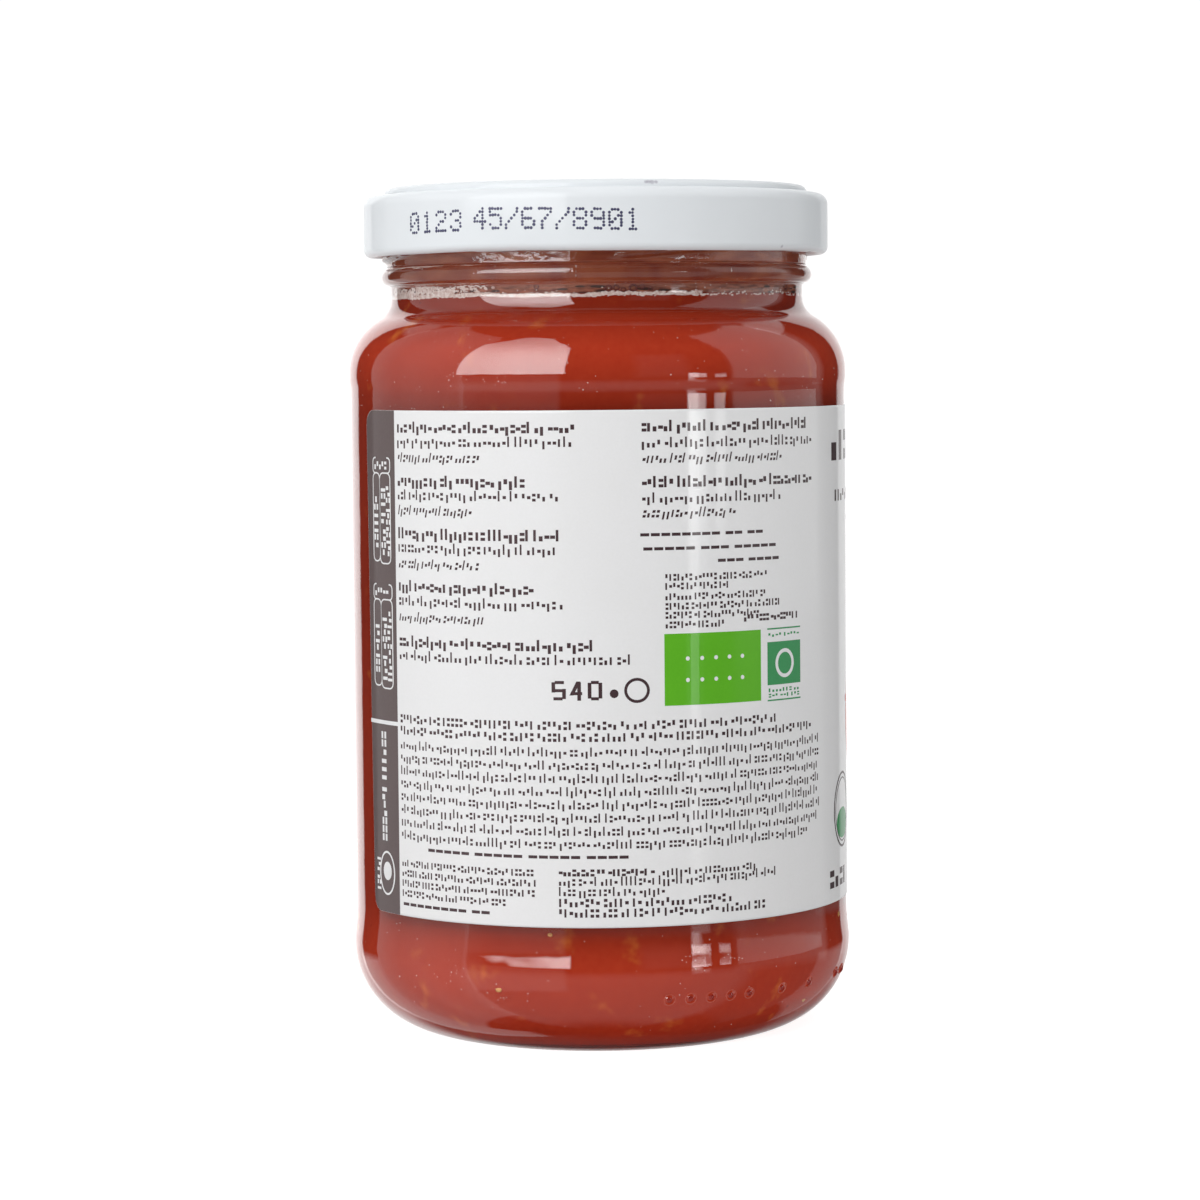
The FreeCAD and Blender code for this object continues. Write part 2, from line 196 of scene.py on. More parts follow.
def outward(points, faces):
    """The faces, all turned over if they enclose a negative volume."""
    corners = points[faces]
    centre = corners.mean(axis=1)
    area = np.cross(corners[:, 2] - corners[:, 0], corners[:, 3] - corners[:, 1])
    return faces[:, ::-1] if (centre * area).sum() < 0 else faces


def make_mesh(name, points, faces, smooth=True, merge=True):
    """A mesh from points in millimetres and four-cornered faces, with its poles merged."""
    points = np.asarray(points, float).reshape(-1, 3)
    faces = outward(points, np.asarray(faces))
    mesh = bpy.data.meshes.new(name)
    mesh.vertices.add(len(points))
    mesh.vertices.foreach_set("co", (points * MM).ravel())
    mesh.loops.add(faces.size)
    mesh.loops.foreach_set("vertex_index", faces.ravel().astype(np.int32))
    mesh.polygons.add(len(faces))
    mesh.polygons.foreach_set("loop_start", np.arange(0, faces.size, 4, dtype=np.int32))
    mesh.update(calc_edges=True)
    if merge:
        work = bmesh.new()
        work.from_mesh(mesh)
        bmesh.ops.remove_doubles(work, verts=work.verts, dist=0.0005 * MM)
        work.to_mesh(mesh)
        work.free()
    mesh.polygons.foreach_set("use_smooth", np.full(len(mesh.polygons), smooth))
    mesh.update()
    return mesh


def make_piece(name, mesh, material, slot, *nodes):
    """An object that rides on the jar and stands for the named CAD nodes. The slot argument is not used."""
    piece = bpy.data.objects.new(name, mesh)
    scene.collection.objects.link(piece)
    mesh.materials.append(material)
    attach(piece, "root")
    if nodes:
        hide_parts(*nodes)
    triangles = sum(len(face.vertices) - 2 for face in mesh.polygons)
    print(f"{name}: {triangles} triangles")
    return piece


# %% [markdown]
# ## Node helpers
# A material is a small graph. One helper adds a node, sets its plain values and joins its inputs,
# so that each material below reads as a list of what it is made of.

# %% Helpers for materials
def add(tree, kind, inputs=None, **settings):
    """A new node in the tree: settings are its own options, inputs are values or other sockets."""
    made = tree.nodes.new(kind)
    for name, value in settings.items():
        setattr(made, name, value)
    for name, value in (inputs or {}).items():
        if isinstance(value, bpy.types.NodeSocket):
            tree.links.new(value, made.inputs[name])
        else:
            made.inputs[name].default_value = value
    return made


def new_material(name):
    """An empty material, with its tree and output node."""
    material = bpy.data.materials.new(name)
    material.use_nodes = True
    tree = material.node_tree
    tree.nodes.clear()
    return material, tree, tree.nodes.new("ShaderNodeOutputMaterial")


def object_place(tree):
    """The point on the piece itself, in metres."""
    return add(tree, "ShaderNodeTexCoord").outputs["Object"]


def blend(tree, share, first, second):
    """A colour that goes from first to second as share goes from 0 to 1."""
    mix = add(tree, "ShaderNodeMix", data_type="RGBA")
    for socket, value in zip((mix.inputs[0], mix.inputs[6], mix.inputs[7]), (share, first, second)):
        if isinstance(value, bpy.types.NodeSocket):
            tree.links.new(value, socket)
        else:
            socket.default_value = value
    return mix.outputs[2]


def ramp(tree, value, low, high):
    """0 where value is below low, 1 above high, smooth in between."""
    made = add(
        tree,
        "ShaderNodeMapRange",
        {"Value": value, "From Min": low, "From Max": high},
        interpolation_type="SMOOTHSTEP",
    )
    return made.outputs["Result"]


def math_node(tree, operation, first, second=0.0, clamp=False):
    """One sum: first operation second."""
    return add(tree, "ShaderNodeMath", {0: first, 1: second}, operation=operation, use_clamp=clamp).outputs[0]


def new_group(name, inputs, outputs):
    """A shader node group with named inputs (name: default) and outputs (name: kind)."""
    group = bpy.data.node_groups.new(name, "ShaderNodeTree")
    for label, default in inputs.items():
        kind = "NodeSocketVector" if default is None else "NodeSocketFloat"
        socket = group.interface.new_socket(label, in_out="INPUT", socket_type=kind)
        if default is not None:
            socket.default_value = default
    for label, kind in outputs.items():
        group.interface.new_socket(label, in_out="OUTPUT", socket_type=f"NodeSocket{kind}")
    return group, group.nodes.new("NodeGroupInput"), group.nodes.new("NodeGroupOutput")


def use_group(tree, group, inputs):
    """The group placed in a tree, with its inputs set or joined."""
    made = add(tree, "ShaderNodeGroup", node_tree=group)
    for name, value in inputs.items():
        if isinstance(value, bpy.types.NodeSocket):
            tree.links.new(value, made.inputs[name])
        else:
            made.inputs[name].default_value = value
    return made


# %% [markdown]
# ## Effects that several finishes share
# Three effects come back on glass, enamel, paper, ink and pulp: a slow mottle, a scatter of fine
# specks, and a bump made of broad waves with fine grain on top. Each is a group with its size as
# an input. Only values come out of them.

# %% Shared effects
def mottle_group():
    """Share: soft patches of noise, pulled apart by contrast and centred on one half."""
    group, start, end = new_group("mottle", {"Place": None, "Size": 2.0, "Contrast": 1.5}, {"Share": "Float"})
    scale = math_node(group, "DIVIDE", 1000.0, start.outputs["Size"])
    inputs = {"Vector": start.outputs["Place"], "Scale": scale, "Detail": 5.0}
    noise = add(group, "ShaderNodeTexNoise", inputs)
    centred = math_node(group, "SUBTRACT", noise.outputs["Fac"], 0.5)
    pulled = math_node(group, "MULTIPLY", centred, start.outputs["Contrast"])
    group.links.new(math_node(group, "ADD", pulled, 0.5, clamp=True), end.inputs["Share"])
    return group


def speck_group():
    """Share: 1 inside round specks of one size, kept only in the cells that a random draw allows."""
    group, start, end = new_group(
        "specks", {"Place": None, "Spacing": 1.0, "Reach": 0.2, "Kept": 0.3}, {"Share": "Float"}
    )
    scale = math_node(group, "DIVIDE", 1000.0, start.outputs["Spacing"])
    cells = add(group, "ShaderNodeTexVoronoi", {"Vector": start.outputs["Place"], "Scale": scale})
    near = math_node(group, "LESS_THAN", cells.outputs["Distance"], start.outputs["Reach"])
    draw = add(group, "ShaderNodeSeparateColor", {"Color": cells.outputs["Color"]}).outputs["Red"]
    chosen = math_node(group, "LESS_THAN", draw, start.outputs["Kept"])
    group.links.new(math_node(group, "MULTIPLY", near, chosen), end.inputs["Share"])
    return group


def relief_group():
    """Height: broad waves and fine grain, each with its own size and depth in millimetres."""
    inputs = {"Place": None, "Wave": 6.0, "Wave depth": 0.01, "Grain": 0.4, "Grain depth": 0.002}
    group, start, end = new_group("relief", inputs, {"Height": "Float"})
    heights = []
    for size, depth in (("Wave", "Wave depth"), ("Grain", "Grain depth")):
        scale = math_node(group, "DIVIDE", 1000.0, start.outputs[size])
        noise = add(
            group, "ShaderNodeTexNoise", {"Vector": start.outputs["Place"], "Scale": scale, "Detail": 2.0}
        )
        metres = math_node(group, "MULTIPLY", start.outputs[depth], MM)
        heights.append(math_node(group, "MULTIPLY", noise.outputs["Fac"], metres))
    group.links.new(math_node(group, "ADD", *heights), end.inputs["Height"])
    return group


mottle = mottle_group()
specks = speck_group()
relief = relief_group()


def relief_normal(tree, place, wave, wave_depth, grain, grain_depth):
    """The relief group's height as a normal."""
    height = use_group(
        tree,
        relief,
        {"Place": place, "Wave": wave, "Wave depth": wave_depth, "Grain": grain, "Grain depth": grain_depth},
    ).outputs["Height"]
    return add(tree, "ShaderNodeBump", {"Height": height, "Distance": 1.0}).outputs["Normal"]


print("groups:", [group.name for group in bpy.data.node_groups])

# %% [markdown]
# ## Glass
# Jar glass is soda-lime: index 1.5, clear with the faintest green. Moulding leaves slow waves in
# it and an orange-peel grain, which is why reflections on a jar have ragged edges. Lamps can't be
# sampled through glass, so for shadow rays and for light that the pulp scatters the surface is
# clear: the pulp behind it is then lit evenly instead of by a few lucky rays.

# %% Glass material
NECK_ROUGHENS = (0.1060, 0.1082)  # the grain deepens between these heights, in metres
PLAIN_GRAIN, NECK_GRAIN = 0.0012, 0.055  # depth of the grain, and what the neck adds to it


def glass_material():
    """Clear glass with moulding waves, open to shadow rays and to light the pulp scatters."""
    material, tree, output = new_material("jar_glass_clear")
    place = object_place(tree)
    height = add(tree, "ShaderNodeSeparateXYZ", {"Vector": place}).outputs["Z"]
    neck = ramp(tree, height, *NECK_ROUGHENS)
    grain = math_node(tree, "ADD", math_node(tree, "MULTIPLY", neck, NECK_GRAIN), PLAIN_GRAIN)
    body = add(
        tree,
        "ShaderNodeBsdfPrincipled",
        {
            "Base Color": (0.985, 0.995, 0.99, 1.0),
            "Roughness": 0.012,
            "IOR": 1.5,
            "Transmission Weight": 1.0,
            "Normal": relief_normal(tree, place, 6.0, 0.032, 0.9, grain),
        },
    )
    shader = body.outputs[0]
    clear = add(tree, "ShaderNodeBsdfTransparent")
    path = add(tree, "ShaderNodeLightPath")
    for ray in ("Is Diffuse Ray", "Is Shadow Ray"):
        mix = add(tree, "ShaderNodeMixShader", {0: path.outputs[ray]})
        tree.links.new(shader, mix.inputs[1])
        tree.links.new(clear.outputs[0], mix.inputs[2])
        shader = mix.outputs[0]
    tree.links.new(shader, output.inputs["Surface"])
    return material


glass = glass_material()

# %% [markdown]
# ## The glass jar
# The wall is one closed surface: under the foot, up the heel, past the label panel, over the
# shoulder, round the bead and the rim, and back down inside. The four thread ridges and the row
# of mould dots are not separate: they push the same surface outwards, as the mould does.

# %% Outline of the glass
def shoulder_corners(depth):
    """The shoulder's two rounded corners, depth inside the outer surface.

    The slope's line meets the upright side and the upright neck in two corners; moving all three
    lines inwards by depth lowers both corners by depth * tan(slope / 2).
    """
    slope = shoulder_slope
    drop = depth * math.tan(slope / 2)
    neck_corner = neck_start - neck_round * math.tan(slope / 2)
    side_corner = neck_corner - (shoulder_radius - neck_radius) / math.tan(slope)
    return [
        (shoulder_radius - depth, side_corner - drop, shoulder_round - depth),
        (neck_radius - depth, neck_corner - drop, neck_round + depth),
    ]


heel_round = 12.4
foot_radius = heel_radius - heel_round
bead_bottom, bead_top = rim - 13.15, rim - 10.55
bead_radius = neck_radius + 1.35
rim_round = 1.2


def outside_corners():
    """The outer wall from under the foot up to the top of the rim."""
    return [
        (0.0, 2.0),
        (8.0, 1.9, 30.0),
        (foot_radius - 3.2, 0.8, 2.0),
        (foot_radius - 2.0, 0.0, 0.6),
        (foot_radius, 0.0, 0.2),
        (heel_radius, 0.0, heel_round),
        (heel_radius, panel_bottom - 3.65, 8.0),
        (panel_radius, panel_bottom - 0.25, 35.0),
        (panel_radius, panel_top + 0.2, 7.0),
        (shoulder_radius, panel_top + 1.4, 7.0),
        *shoulder_corners(0.0),
        (neck_radius, bead_bottom, 0.35),
        (bead_radius, bead_bottom, 1.28),
        (bead_radius, bead_top, 1.25),
        (thread_wall_radius, bead_top, 0.3),
        (thread_wall_radius, rim, rim_round),
        (mouth_radius + rim_round, rim),
    ]


def inside_corners(gap=0.0, top=rim - rim_round):
    """The inner wall from the middle of the floor up to a height in the neck, gap outside it."""
    side = shoulder_radius - wall + gap
    floor = 3.8 - gap
    return [
        (0.0, floor + 0.8),
        (side - 9.6, floor, 60.0),
        (side, floor, 9.6 + gap),
        *shoulder_corners(wall - gap),
        (mouth_radius + gap, top),
    ]


def refined(outline, low, high, step):
    """The outline with points no further apart than step wherever its height is between low and high."""
    kept = [outline[0]]
    for start, end in zip(outline, outline[1:]):
        middle = (start[1] + end[1]) / 2
        overlap = min(start[1], end[1]) < high and max(start[1], end[1]) > low
        if overlap and (low < middle < high or abs(end[1] - start[1]) > step):
            count = max(1, math.ceil(np.linalg.norm(end - start) / step))
            kept.extend(start + (end - start) * part / count for part in range(1, count))
        kept.append(end)
    return np.array(kept)


print("shoulder corners:", [tuple(round(value, 2) for value in corner) for corner in shoulder_corners(0)])

# %% Threads and mould dots
thread_slope = math.radians(5.5)
thread_sweep = 76.0
thread_start = 4.0
thread_depth = 0.85
thread_half, thread_crest_half = 0.75, 0.35
thread_middle = lid_bottom + 1.3
thread_end_fade = 5.0
dot_directions = np.array([15, 20, 25, 30, 35, 45, 55, 70, 75], float)
dot_ball, dot_rise = 0.90, 0.35
dot_tilt = math.radians(17.5)


def smooth_step(value):
    """0 below 0, 1 above 1, and 3v^2 - 2v^3 in between."""
    value = np.clip(value, 0.0, 1.0)
    return value * value * (3.0 - 2.0 * value)


def thread_rise(directions, up):
    """How far the ridges stand out: a flat-topped bump across a line that climbs with direction.

    The line's height is middle + radius * tan(slope) * sin(direction - middle direction), and
    each ridge fades in and out over a few degrees at its ends.
    """
    rise = np.zeros(np.broadcast(directions, up).shape)
    for quarter in range(4):
        centre = thread_start + thread_sweep / 2 + 90.0 * quarter
        away = (directions - centre + 180.0) % 360.0 - 180.0
        line = thread_middle + thread_wall_radius * math.tan(thread_slope) * np.sin(np.radians(away))
        across = (thread_half + 0.1 - np.abs(up - line)) / (thread_half - thread_crest_half + 0.1)
        along = (thread_sweep / 2 - np.abs(away)) / thread_end_fade
        rise = np.maximum(rise, thread_depth * smooth_step(across) * smooth_step(along))
    return rise


def dot_lift(points):
    """How far each point is pushed out by the nearest mould dot: the cap of a sunk ball."""
    ring = heel_radius - heel_round + heel_round * math.cos(dot_tilt)
    height = heel_round - heel_round * math.sin(dot_tilt)
    centres = turned(ring, height, dot_directions)
    near = np.linalg.norm(points[..., None, :] - centres, axis=-1).min(axis=-1)
    sunk = dot_ball - dot_rise
    return np.sqrt(np.clip(dot_ball**2 - near**2, sunk**2, None)) - sunk


def glass_directions():
    """Even directions all round, with closer ones across each mould dot."""
    near_dots = dot_directions[:, None] + np.linspace(-1.5, 1.5, 17)[None, :]
    even = full_turn(168)
    away = np.abs(even[:, None] - dot_directions[None, :]).min(axis=1)
    return np.sort(np.concatenate([even[away > 1.6], near_dots.ravel()]))


def glass_grid():
    """The whole wall as one grid, closed at a pole under the foot and one on the inner floor."""
    outside = refined(rounded(outside_corners(), 0.55), 7.6, 9.8, 0.11)
    outside = refined(outside, bead_top + 0.1, rim - 4.5, 0.25)
    inside = rounded(inside_corners(), 0.9)[::-1]
    lip_corners = [
        (mouth_radius + rim_round, rim),
        (mouth_radius, rim, rim_round),
        (mouth_radius, rim - 3),
    ]
    lip = rounded(lip_corners, 0.4)
    inside = inside[inside[:, 1] < rim - 2 * rim_round]
    outline = np.concatenate([outside, lip[1:-2], inside])
    directions = glass_directions()
    grid = lathe(outline, directions)
    angle = np.radians(directions)[None, :]
    outwards = np.stack([np.sin(angle), -np.cos(angle), 0 * angle], axis=-1)
    rows = len(outside)
    outer = outline[:rows, :1]
    threads = thread_rise(directions[None, :], outline[:rows, 1:]) * (outer > neck_radius + 0.3)
    threads = threads * smooth_step((outline[:rows, 1:] - bead_top) / 0.6)
    grid[:rows] += threads[..., None] * outwards
    heel = outline[:rows, 1] < heel_round
    slope = np.stack([outline[:rows, 0] - foot_radius, outline[:rows, 1] - heel_round], axis=-1)
    slope /= np.linalg.norm(slope, axis=-1, keepdims=True)
    away = slope[:, None, :1] * outwards
    away[..., 2] += slope[:, 1:]
    grid[:rows][heel] += (dot_lift(grid[:rows])[..., None] * away)[heel]
    return grid


jar_grid = glass_grid()
rows, columns = jar_grid.shape[:2]
jar_mesh = make_mesh("jar_glass", jar_grid, grid_faces(rows, columns))
make_piece("jar_glass", jar_mesh, glass, "glass", "glass_jar")
print("rows and columns of the wall:", rows, columns)

# %% [markdown]
# ## Tomato pulp
# Pulp is not a flat red. It is a fine red paste with slightly lighter and darker clouds, a few
# orange scraps of flesh just under the surface and the odd darker fleck of skin or herb. Behind
# glass it has no shine of its own, because its water touches the wall, so its specular level is
# zero and all gloss is left to the glass.

# %% Pulp material and body
TONE_TOP = 120.0  # height that the table of tones is divided by, in millimetres


def by_height(tree, place, stops):
    """A grey that follows a table of (height in millimetres, value), straight between its lines."""
    height = add(tree, "ShaderNodeSeparateXYZ", {"Vector": place}).outputs["Z"]
    share = math_node(tree, "DIVIDE", height, TONE_TOP * MM)
    made = add(tree, "ShaderNodeValToRGB", {"Fac": share})
    elements = made.color_ramp.elements
    while len(elements) < len(stops):
        elements.new(1.0)
    for element, (up, value) in zip(elements, stops):
        element.position = up / TONE_TOP
        element.color = (value, value, value, 1)
    return made.outputs["Color"]


# Painted light and shade: the pulp's red is multiplied by a grey that follows its height. It is lighter on
# the heel and the shoulder, where the surface turns up to the light, and darker along the label's edges and
# in the neck, where the label, the lid and the thick glass keep light out.
PULP_PAINTED_LIGHT = (
    (0, 0.92), (3, 0.95), (7, 1.0), (11.5, 0.94), (14, 0.84), (17, 0.72), (20, 0.62), (87, 0.52),
    (90.5, 0.60), (93.2, 0.76), (96.5, 0.86), (99, 0.76), (101.3, 0.46), (103, 0.50), (106, 0.50),
)


def pulp_material():
    """Brick red paste with clouds, fine grain, orange scraps and dark flecks, times painted light and shade
    that follow its height.
    """
    material, tree, output = new_material("tomato_paste")
    place = object_place(tree)
    cloud = use_group(tree, mottle, {"Place": place, "Size": 14.0, "Contrast": 1.6}).outputs["Share"]
    grain = use_group(tree, mottle, {"Place": place, "Size": 0.9, "Contrast": 2.2}).outputs["Share"]
    scrap = use_group(tree, mottle, {"Place": place, "Size": 5.0, "Contrast": 1.0}).outputs["Share"]
    fleck = use_group(
        tree, specks, {"Place": place, "Spacing": 4.0, "Reach": 0.05, "Kept": 0.3}
    ).outputs["Share"]
    red = blend(tree, cloud, (0.42, 0.034, 0.013, 1), (0.52, 0.045, 0.017, 1))
    red = blend(tree, math_node(tree, "MULTIPLY", grain, 0.3), red, (0.58, 0.066, 0.025, 1))
    red = blend(tree, ramp(tree, scrap, 0.60, 0.80), red, (0.72, 0.16, 0.035, 1))
    red = blend(tree, math_node(tree, "MULTIPLY", fleck, 0.6), red, (0.16, 0.014, 0.008, 1))
    # Painted light and shade: the red is multiplied by the grey of the height table.
    painted_light = add(tree, "ShaderNodeMix", data_type="RGBA", blend_type="MULTIPLY")
    painted_light.inputs[0].default_value = 1.0
    tree.links.new(red, painted_light.inputs[6])
    tree.links.new(by_height(tree, place, PULP_PAINTED_LIGHT), painted_light.inputs[7])
    red = painted_light.outputs[2]
    body = add(
        tree,
        "ShaderNodeBsdfPrincipled",
        {
            "Base Color": red,
            "Roughness": 0.6,
            "Specular IOR Level": 0.0,
            "Normal": relief_normal(tree, place, 3.0, 0.02, 0.5, 0.01),
        },
    )
    tree.links.new(body.outputs[0], output.inputs["Surface"])
    return material


def pulp_grid(directions):
    """The inside of the jar up to the level, with a surface that creeps up the glass at its edge."""
    inside = rounded(inside_corners(into_wall, level + 0.6), 0.9)
    edge = mouth_radius + into_wall
    surface_corners = [(edge, level + 0.6), (edge - 0.5, level + 0.1, 0.4), (edge - 3, level), (0.0, level)]
    surface = rounded(surface_corners, 0.3)
    grid = lathe(np.concatenate([inside, surface[1:]]), directions)
    top = np.arange(len(grid)) > len(inside)
    lumps = 0.25 * np.sin(grid[..., 0] * 0.9 + 1.3) * np.cos(grid[..., 1] * 0.7)
    inner = smooth_step((edge - np.hypot(grid[..., 0], grid[..., 1])) / 4.0)
    grid[..., 2] += np.where(top[:, None], lumps * inner, 0.0)
    return grid


pulp_red = pulp_material()
pulp = pulp_grid(full_turn(200))
pulp_mesh = make_mesh("pulp_body", pulp, grid_faces(*pulp.shape[:2]))
make_piece("pulp_body", pulp_mesh, pulp_red, "pulp", "tomato_pulp")

# %% [markdown]
# ## Small things in the pulp and in the headspace
# Seeds, bubbles and foam are hundreds of tiny rounded bodies. Each kind is one joined mesh: a
# small ball (a cube of 24 squares pushed out to a sphere) is scaled, turned and placed by arrays.

# %% Joined little bodies
def ball():
    """A unit ball: the surface points of a 3 x 3 x 3 cube pushed out to length one."""
    steps = np.array([-1.0, 0.0, 1.0])
    lattice = np.stack(np.meshgrid(steps, steps, steps, indexing="ij"), axis=-1).reshape(-1, 3)
    number = {}
    faces = []
    for axis in range(3):
        for side in (0, 2):
            sheet = np.arange(27).reshape(3, 3, 3).take(side, axis=axis)
            squares = [sheet[:2, :2], sheet[1:, :2], sheet[1:, 1:], sheet[:2, 1:]]
            if (side == 2) != (axis == 1):
                squares = squares[::-1]
            faces.append(np.stack(squares, axis=-1).reshape(-1, 4)[:, ::-1])
    used, faces = np.unique(np.concatenate(faces), return_inverse=True)
    points = lattice[used]
    return points / np.linalg.norm(points, axis=1, keepdims=True), faces.reshape(-1, 4)


ball_points, ball_faces = ball()


def joined_bodies(centres, sizes, directions):
    """One mesh of many balls: sizes are (along the wall, up, through the wall), turned to face out."""
    angle = np.radians(directions)
    along = np.stack([np.cos(angle), np.sin(angle), 0 * angle], axis=-1)
    out = np.stack([np.sin(angle), -np.cos(angle), 0 * angle], axis=-1)
    up = np.broadcast_to([0.0, 0.0, 1.0], out.shape)
    axes = np.stack([along, up, out], axis=1) * sizes[:, :, None]
    points = centres[:, None, :] + np.einsum("pk,nkc->npc", ball_points, axes)
    faces = ball_faces[None] + len(ball_points) * np.arange(len(centres))[:, None, None]
    return points.reshape(-1, 3), faces.reshape(-1, 4)


def plain_gloss(name, colour, second, size, roughness, **values):
    """A material of two mottled colours with a fine relief, for small things."""
    material, tree, output = new_material(name)
    place = object_place(tree)
    share = use_group(tree, mottle, {"Place": place, "Size": size, "Contrast": 2.4}).outputs["Share"]
    inputs = {
        "Base Color": blend(tree, share, (*colour, 1), (*second, 1)),
        "Roughness": roughness,
        "Normal": relief_normal(tree, place, size * 2, 0.004, size * 0.4, 0.001),
    }
    body = add(tree, "ShaderNodeBsdfPrincipled", {**inputs, **values})
    tree.links.new(body.outputs[0], output.inputs["Surface"])
    return material


def wall_radius(up):
    """Radius of the pulp's surface at a height, read off its outline."""
    outline = rounded(inside_corners(into_wall, level + 0.6), 0.9)
    return np.interp(up, outline[:, 1], outline[:, 0])


# Seeds that show through the wall: direction, height and length in millimetres.
shown_seeds = np.array([(-25.0, 10.0, 1.0), (-12.0, 17.6, 0.7)])
hidden_seeds = np.stack(
    [rng.uniform(60, 290, 26), rng.uniform(6.5, 17.5, 26), rng.uniform(0.6, 1.3, 26)], axis=-1
)
seeds = np.concatenate([shown_seeds, hidden_seeds])
seed_radius = wall_radius(seeds[:, 1])
seed_centres = turned(seed_radius, seeds[:, 1], seeds[:, 0])
seed_sizes = seeds[:, 2:] * np.array([[0.5, 0.42, 0.06]])
points, faces = joined_bodies(seed_centres, seed_sizes, seeds[:, 0])
seed_yellow = plain_gloss("seed_yellow", (0.72, 0.36, 0.10), (0.62, 0.24, 0.06), 0.6, 0.5)
make_piece("tomato_seeds", make_mesh("tomato_seeds", points, faces, merge=False), seed_yellow, "pulp")

# %% [markdown]
# ## Headspace
# A hot-filled jar is turned over while it cools, so the wall above the pulp keeps a film of
# residue: brown-red, patchy, with dark specks, and a line of white froth where the pulp stands.

# %% Film on the glass
BROWN_ENDS = (0.1052, 0.1060)  # the brown foot of the film turns red here, in metres
# Painted shade: below these heights the film's red is darkened, where the bead's thick glass shows it darker.
BEAD_PAINTED_SHADE = (0.1078, 0.1068)  # from here down the bead's thick glass shows it darker


def film_material():
    """Residue on the glass: dark red to brown with orange patches, near-black specks and a painted shade
    below the bead.
    """
    material, tree, output = new_material("pulp_residue")
    place = object_place(tree)
    stretch = add(tree, "ShaderNodeMapping", {"Vector": place, "Scale": (0.6, 0.6, 2.6)}).outputs[0]
    patch = use_group(tree, mottle, {"Place": stretch, "Size": 3.0, "Contrast": 2.6}).outputs["Share"]
    small = use_group(tree, mottle, {"Place": stretch, "Size": 1.0, "Contrast": 2.8}).outputs["Share"]
    speckle = {"Place": stretch, "Spacing": 1.7, "Reach": 0.36, "Kept": 0.5}
    dark = use_group(tree, specks, speckle).outputs["Share"]
    height = add(tree, "ShaderNodeSeparateXYZ", {"Vector": place}).outputs["Z"]
    low_band = math_node(tree, "SUBTRACT", 1.0, ramp(tree, height, *BROWN_ENDS), clamp=True)
    bead_painted_shade = ramp(tree, height, *BEAD_PAINTED_SHADE)
    red = blend(tree, patch, (0.22, 0.030, 0.014, 1), (0.42, 0.11, 0.045, 1))
    brown = blend(tree, small, (0.11, 0.028, 0.016, 1), (0.33, 0.11, 0.065, 1))
    # Painted shade below the bead.
    red = blend(tree, math_node(tree, "MULTIPLY", bead_painted_shade, 0.4), red, (0.10, 0.012, 0.008, 1))
    colour = blend(tree, low_band, red, brown)
    colour = blend(tree, math_node(tree, "MULTIPLY", dark, low_band), colour, (0.045, 0.02, 0.015, 1))
    body = add(
        tree,
        "ShaderNodeBsdfPrincipled",
        {
            "Base Color": colour,
            "Roughness": 0.35,
            "Specular IOR Level": 0.2,
            "Normal": relief_normal(tree, place, 1.5, 0.05, 0.3, 0.02),
        },
    )
    tree.links.new(body.outputs[0], output.inputs["Surface"])
    return material


film_out = mouth_radius + 0.1
film_in = mouth_radius - 0.15
film_outline = np.array(
    [(film_out, level - 0.4), (film_out, rim - 3.0), (film_in, rim - 3.0), (film_in, level - 0.4)]
)
film_grid = lathe(film_outline, full_turn(180))
film_faces = grid_faces(*film_grid.shape[:2], wrap_rows=True)
film = film_material()
make_piece("headspace_film", make_mesh("headspace_film", film_grid, film_faces, smooth=False), film, "pulp")

# %% [markdown]
# ## Froth and ring bubbles
# The froth is a line of flattened balls where the pulp stands. Larger bubbles lie flat on the
# film and show only as their dark edges, drawn as dark rings of painted shade.

# %% Froth
def froth():
    """Tiny bubbles: a line where the pulp stands, a thick patch to the near left, and loose ones.

    The line is thickest in front and thins out round the back; each bubble is a flattened ball.
    """
    line = np.concatenate([rng.uniform(-84, 8, 1700), rng.uniform(8, 32, 300), rng.uniform(32, 276, 330)])
    swing = 0.10 * np.sin(np.radians(line * 7.0)) + 0.08 * np.sin(np.radians(line * 19.0))
    line_up = level + 0.40 + swing + rng.normal(0, 0.13, line.size)
    patch = np.concatenate([rng.uniform(-80, -44, 840), rng.normal(-40, 4.0, 90)])
    shape = 0.8 + 0.25 * np.sin(np.radians(patch * 17.0)) + 0.25 * rng.uniform(-1, 1, patch.size)
    patch_up = level + 0.4 + rng.uniform(0, 1, patch.size) ** 0.8 * 1.9 * shape
    loose = rng.uniform(-180, 180, 260)
    loose_up = level + 0.3 + rng.exponential(0.8, loose.size)
    directions = np.concatenate([line, patch, loose])
    up = np.minimum(np.concatenate([line_up, patch_up, loose_up]), level + 3.4)
    line_size = rng.uniform(0.13, 0.26, line.size)
    patch_size = rng.uniform(0.12, 0.30, patch.size)
    loose_size = rng.uniform(0.05, 0.13, loose.size)
    size = np.concatenate([line_size, patch_size, loose_size])
    centres = turned(mouth_radius + 0.12, up, directions)
    return joined_bodies(centres, np.stack([size, size * 0.75, size * 0.35], axis=-1), directions)


froth_white = plain_gloss("froth_white", (0.80, 0.72, 0.69), (0.52, 0.34, 0.29), 0.5, 0.35)
points, faces = froth()
make_piece("froth_line", make_mesh("froth_line", points, faces, merge=False), froth_white, "pulp")

# %% Ring bubbles
RING_STEPS = 14
RING_SECTION = np.array([(1, 0), (0, 1), (-1, 0), (0, -1)], float)


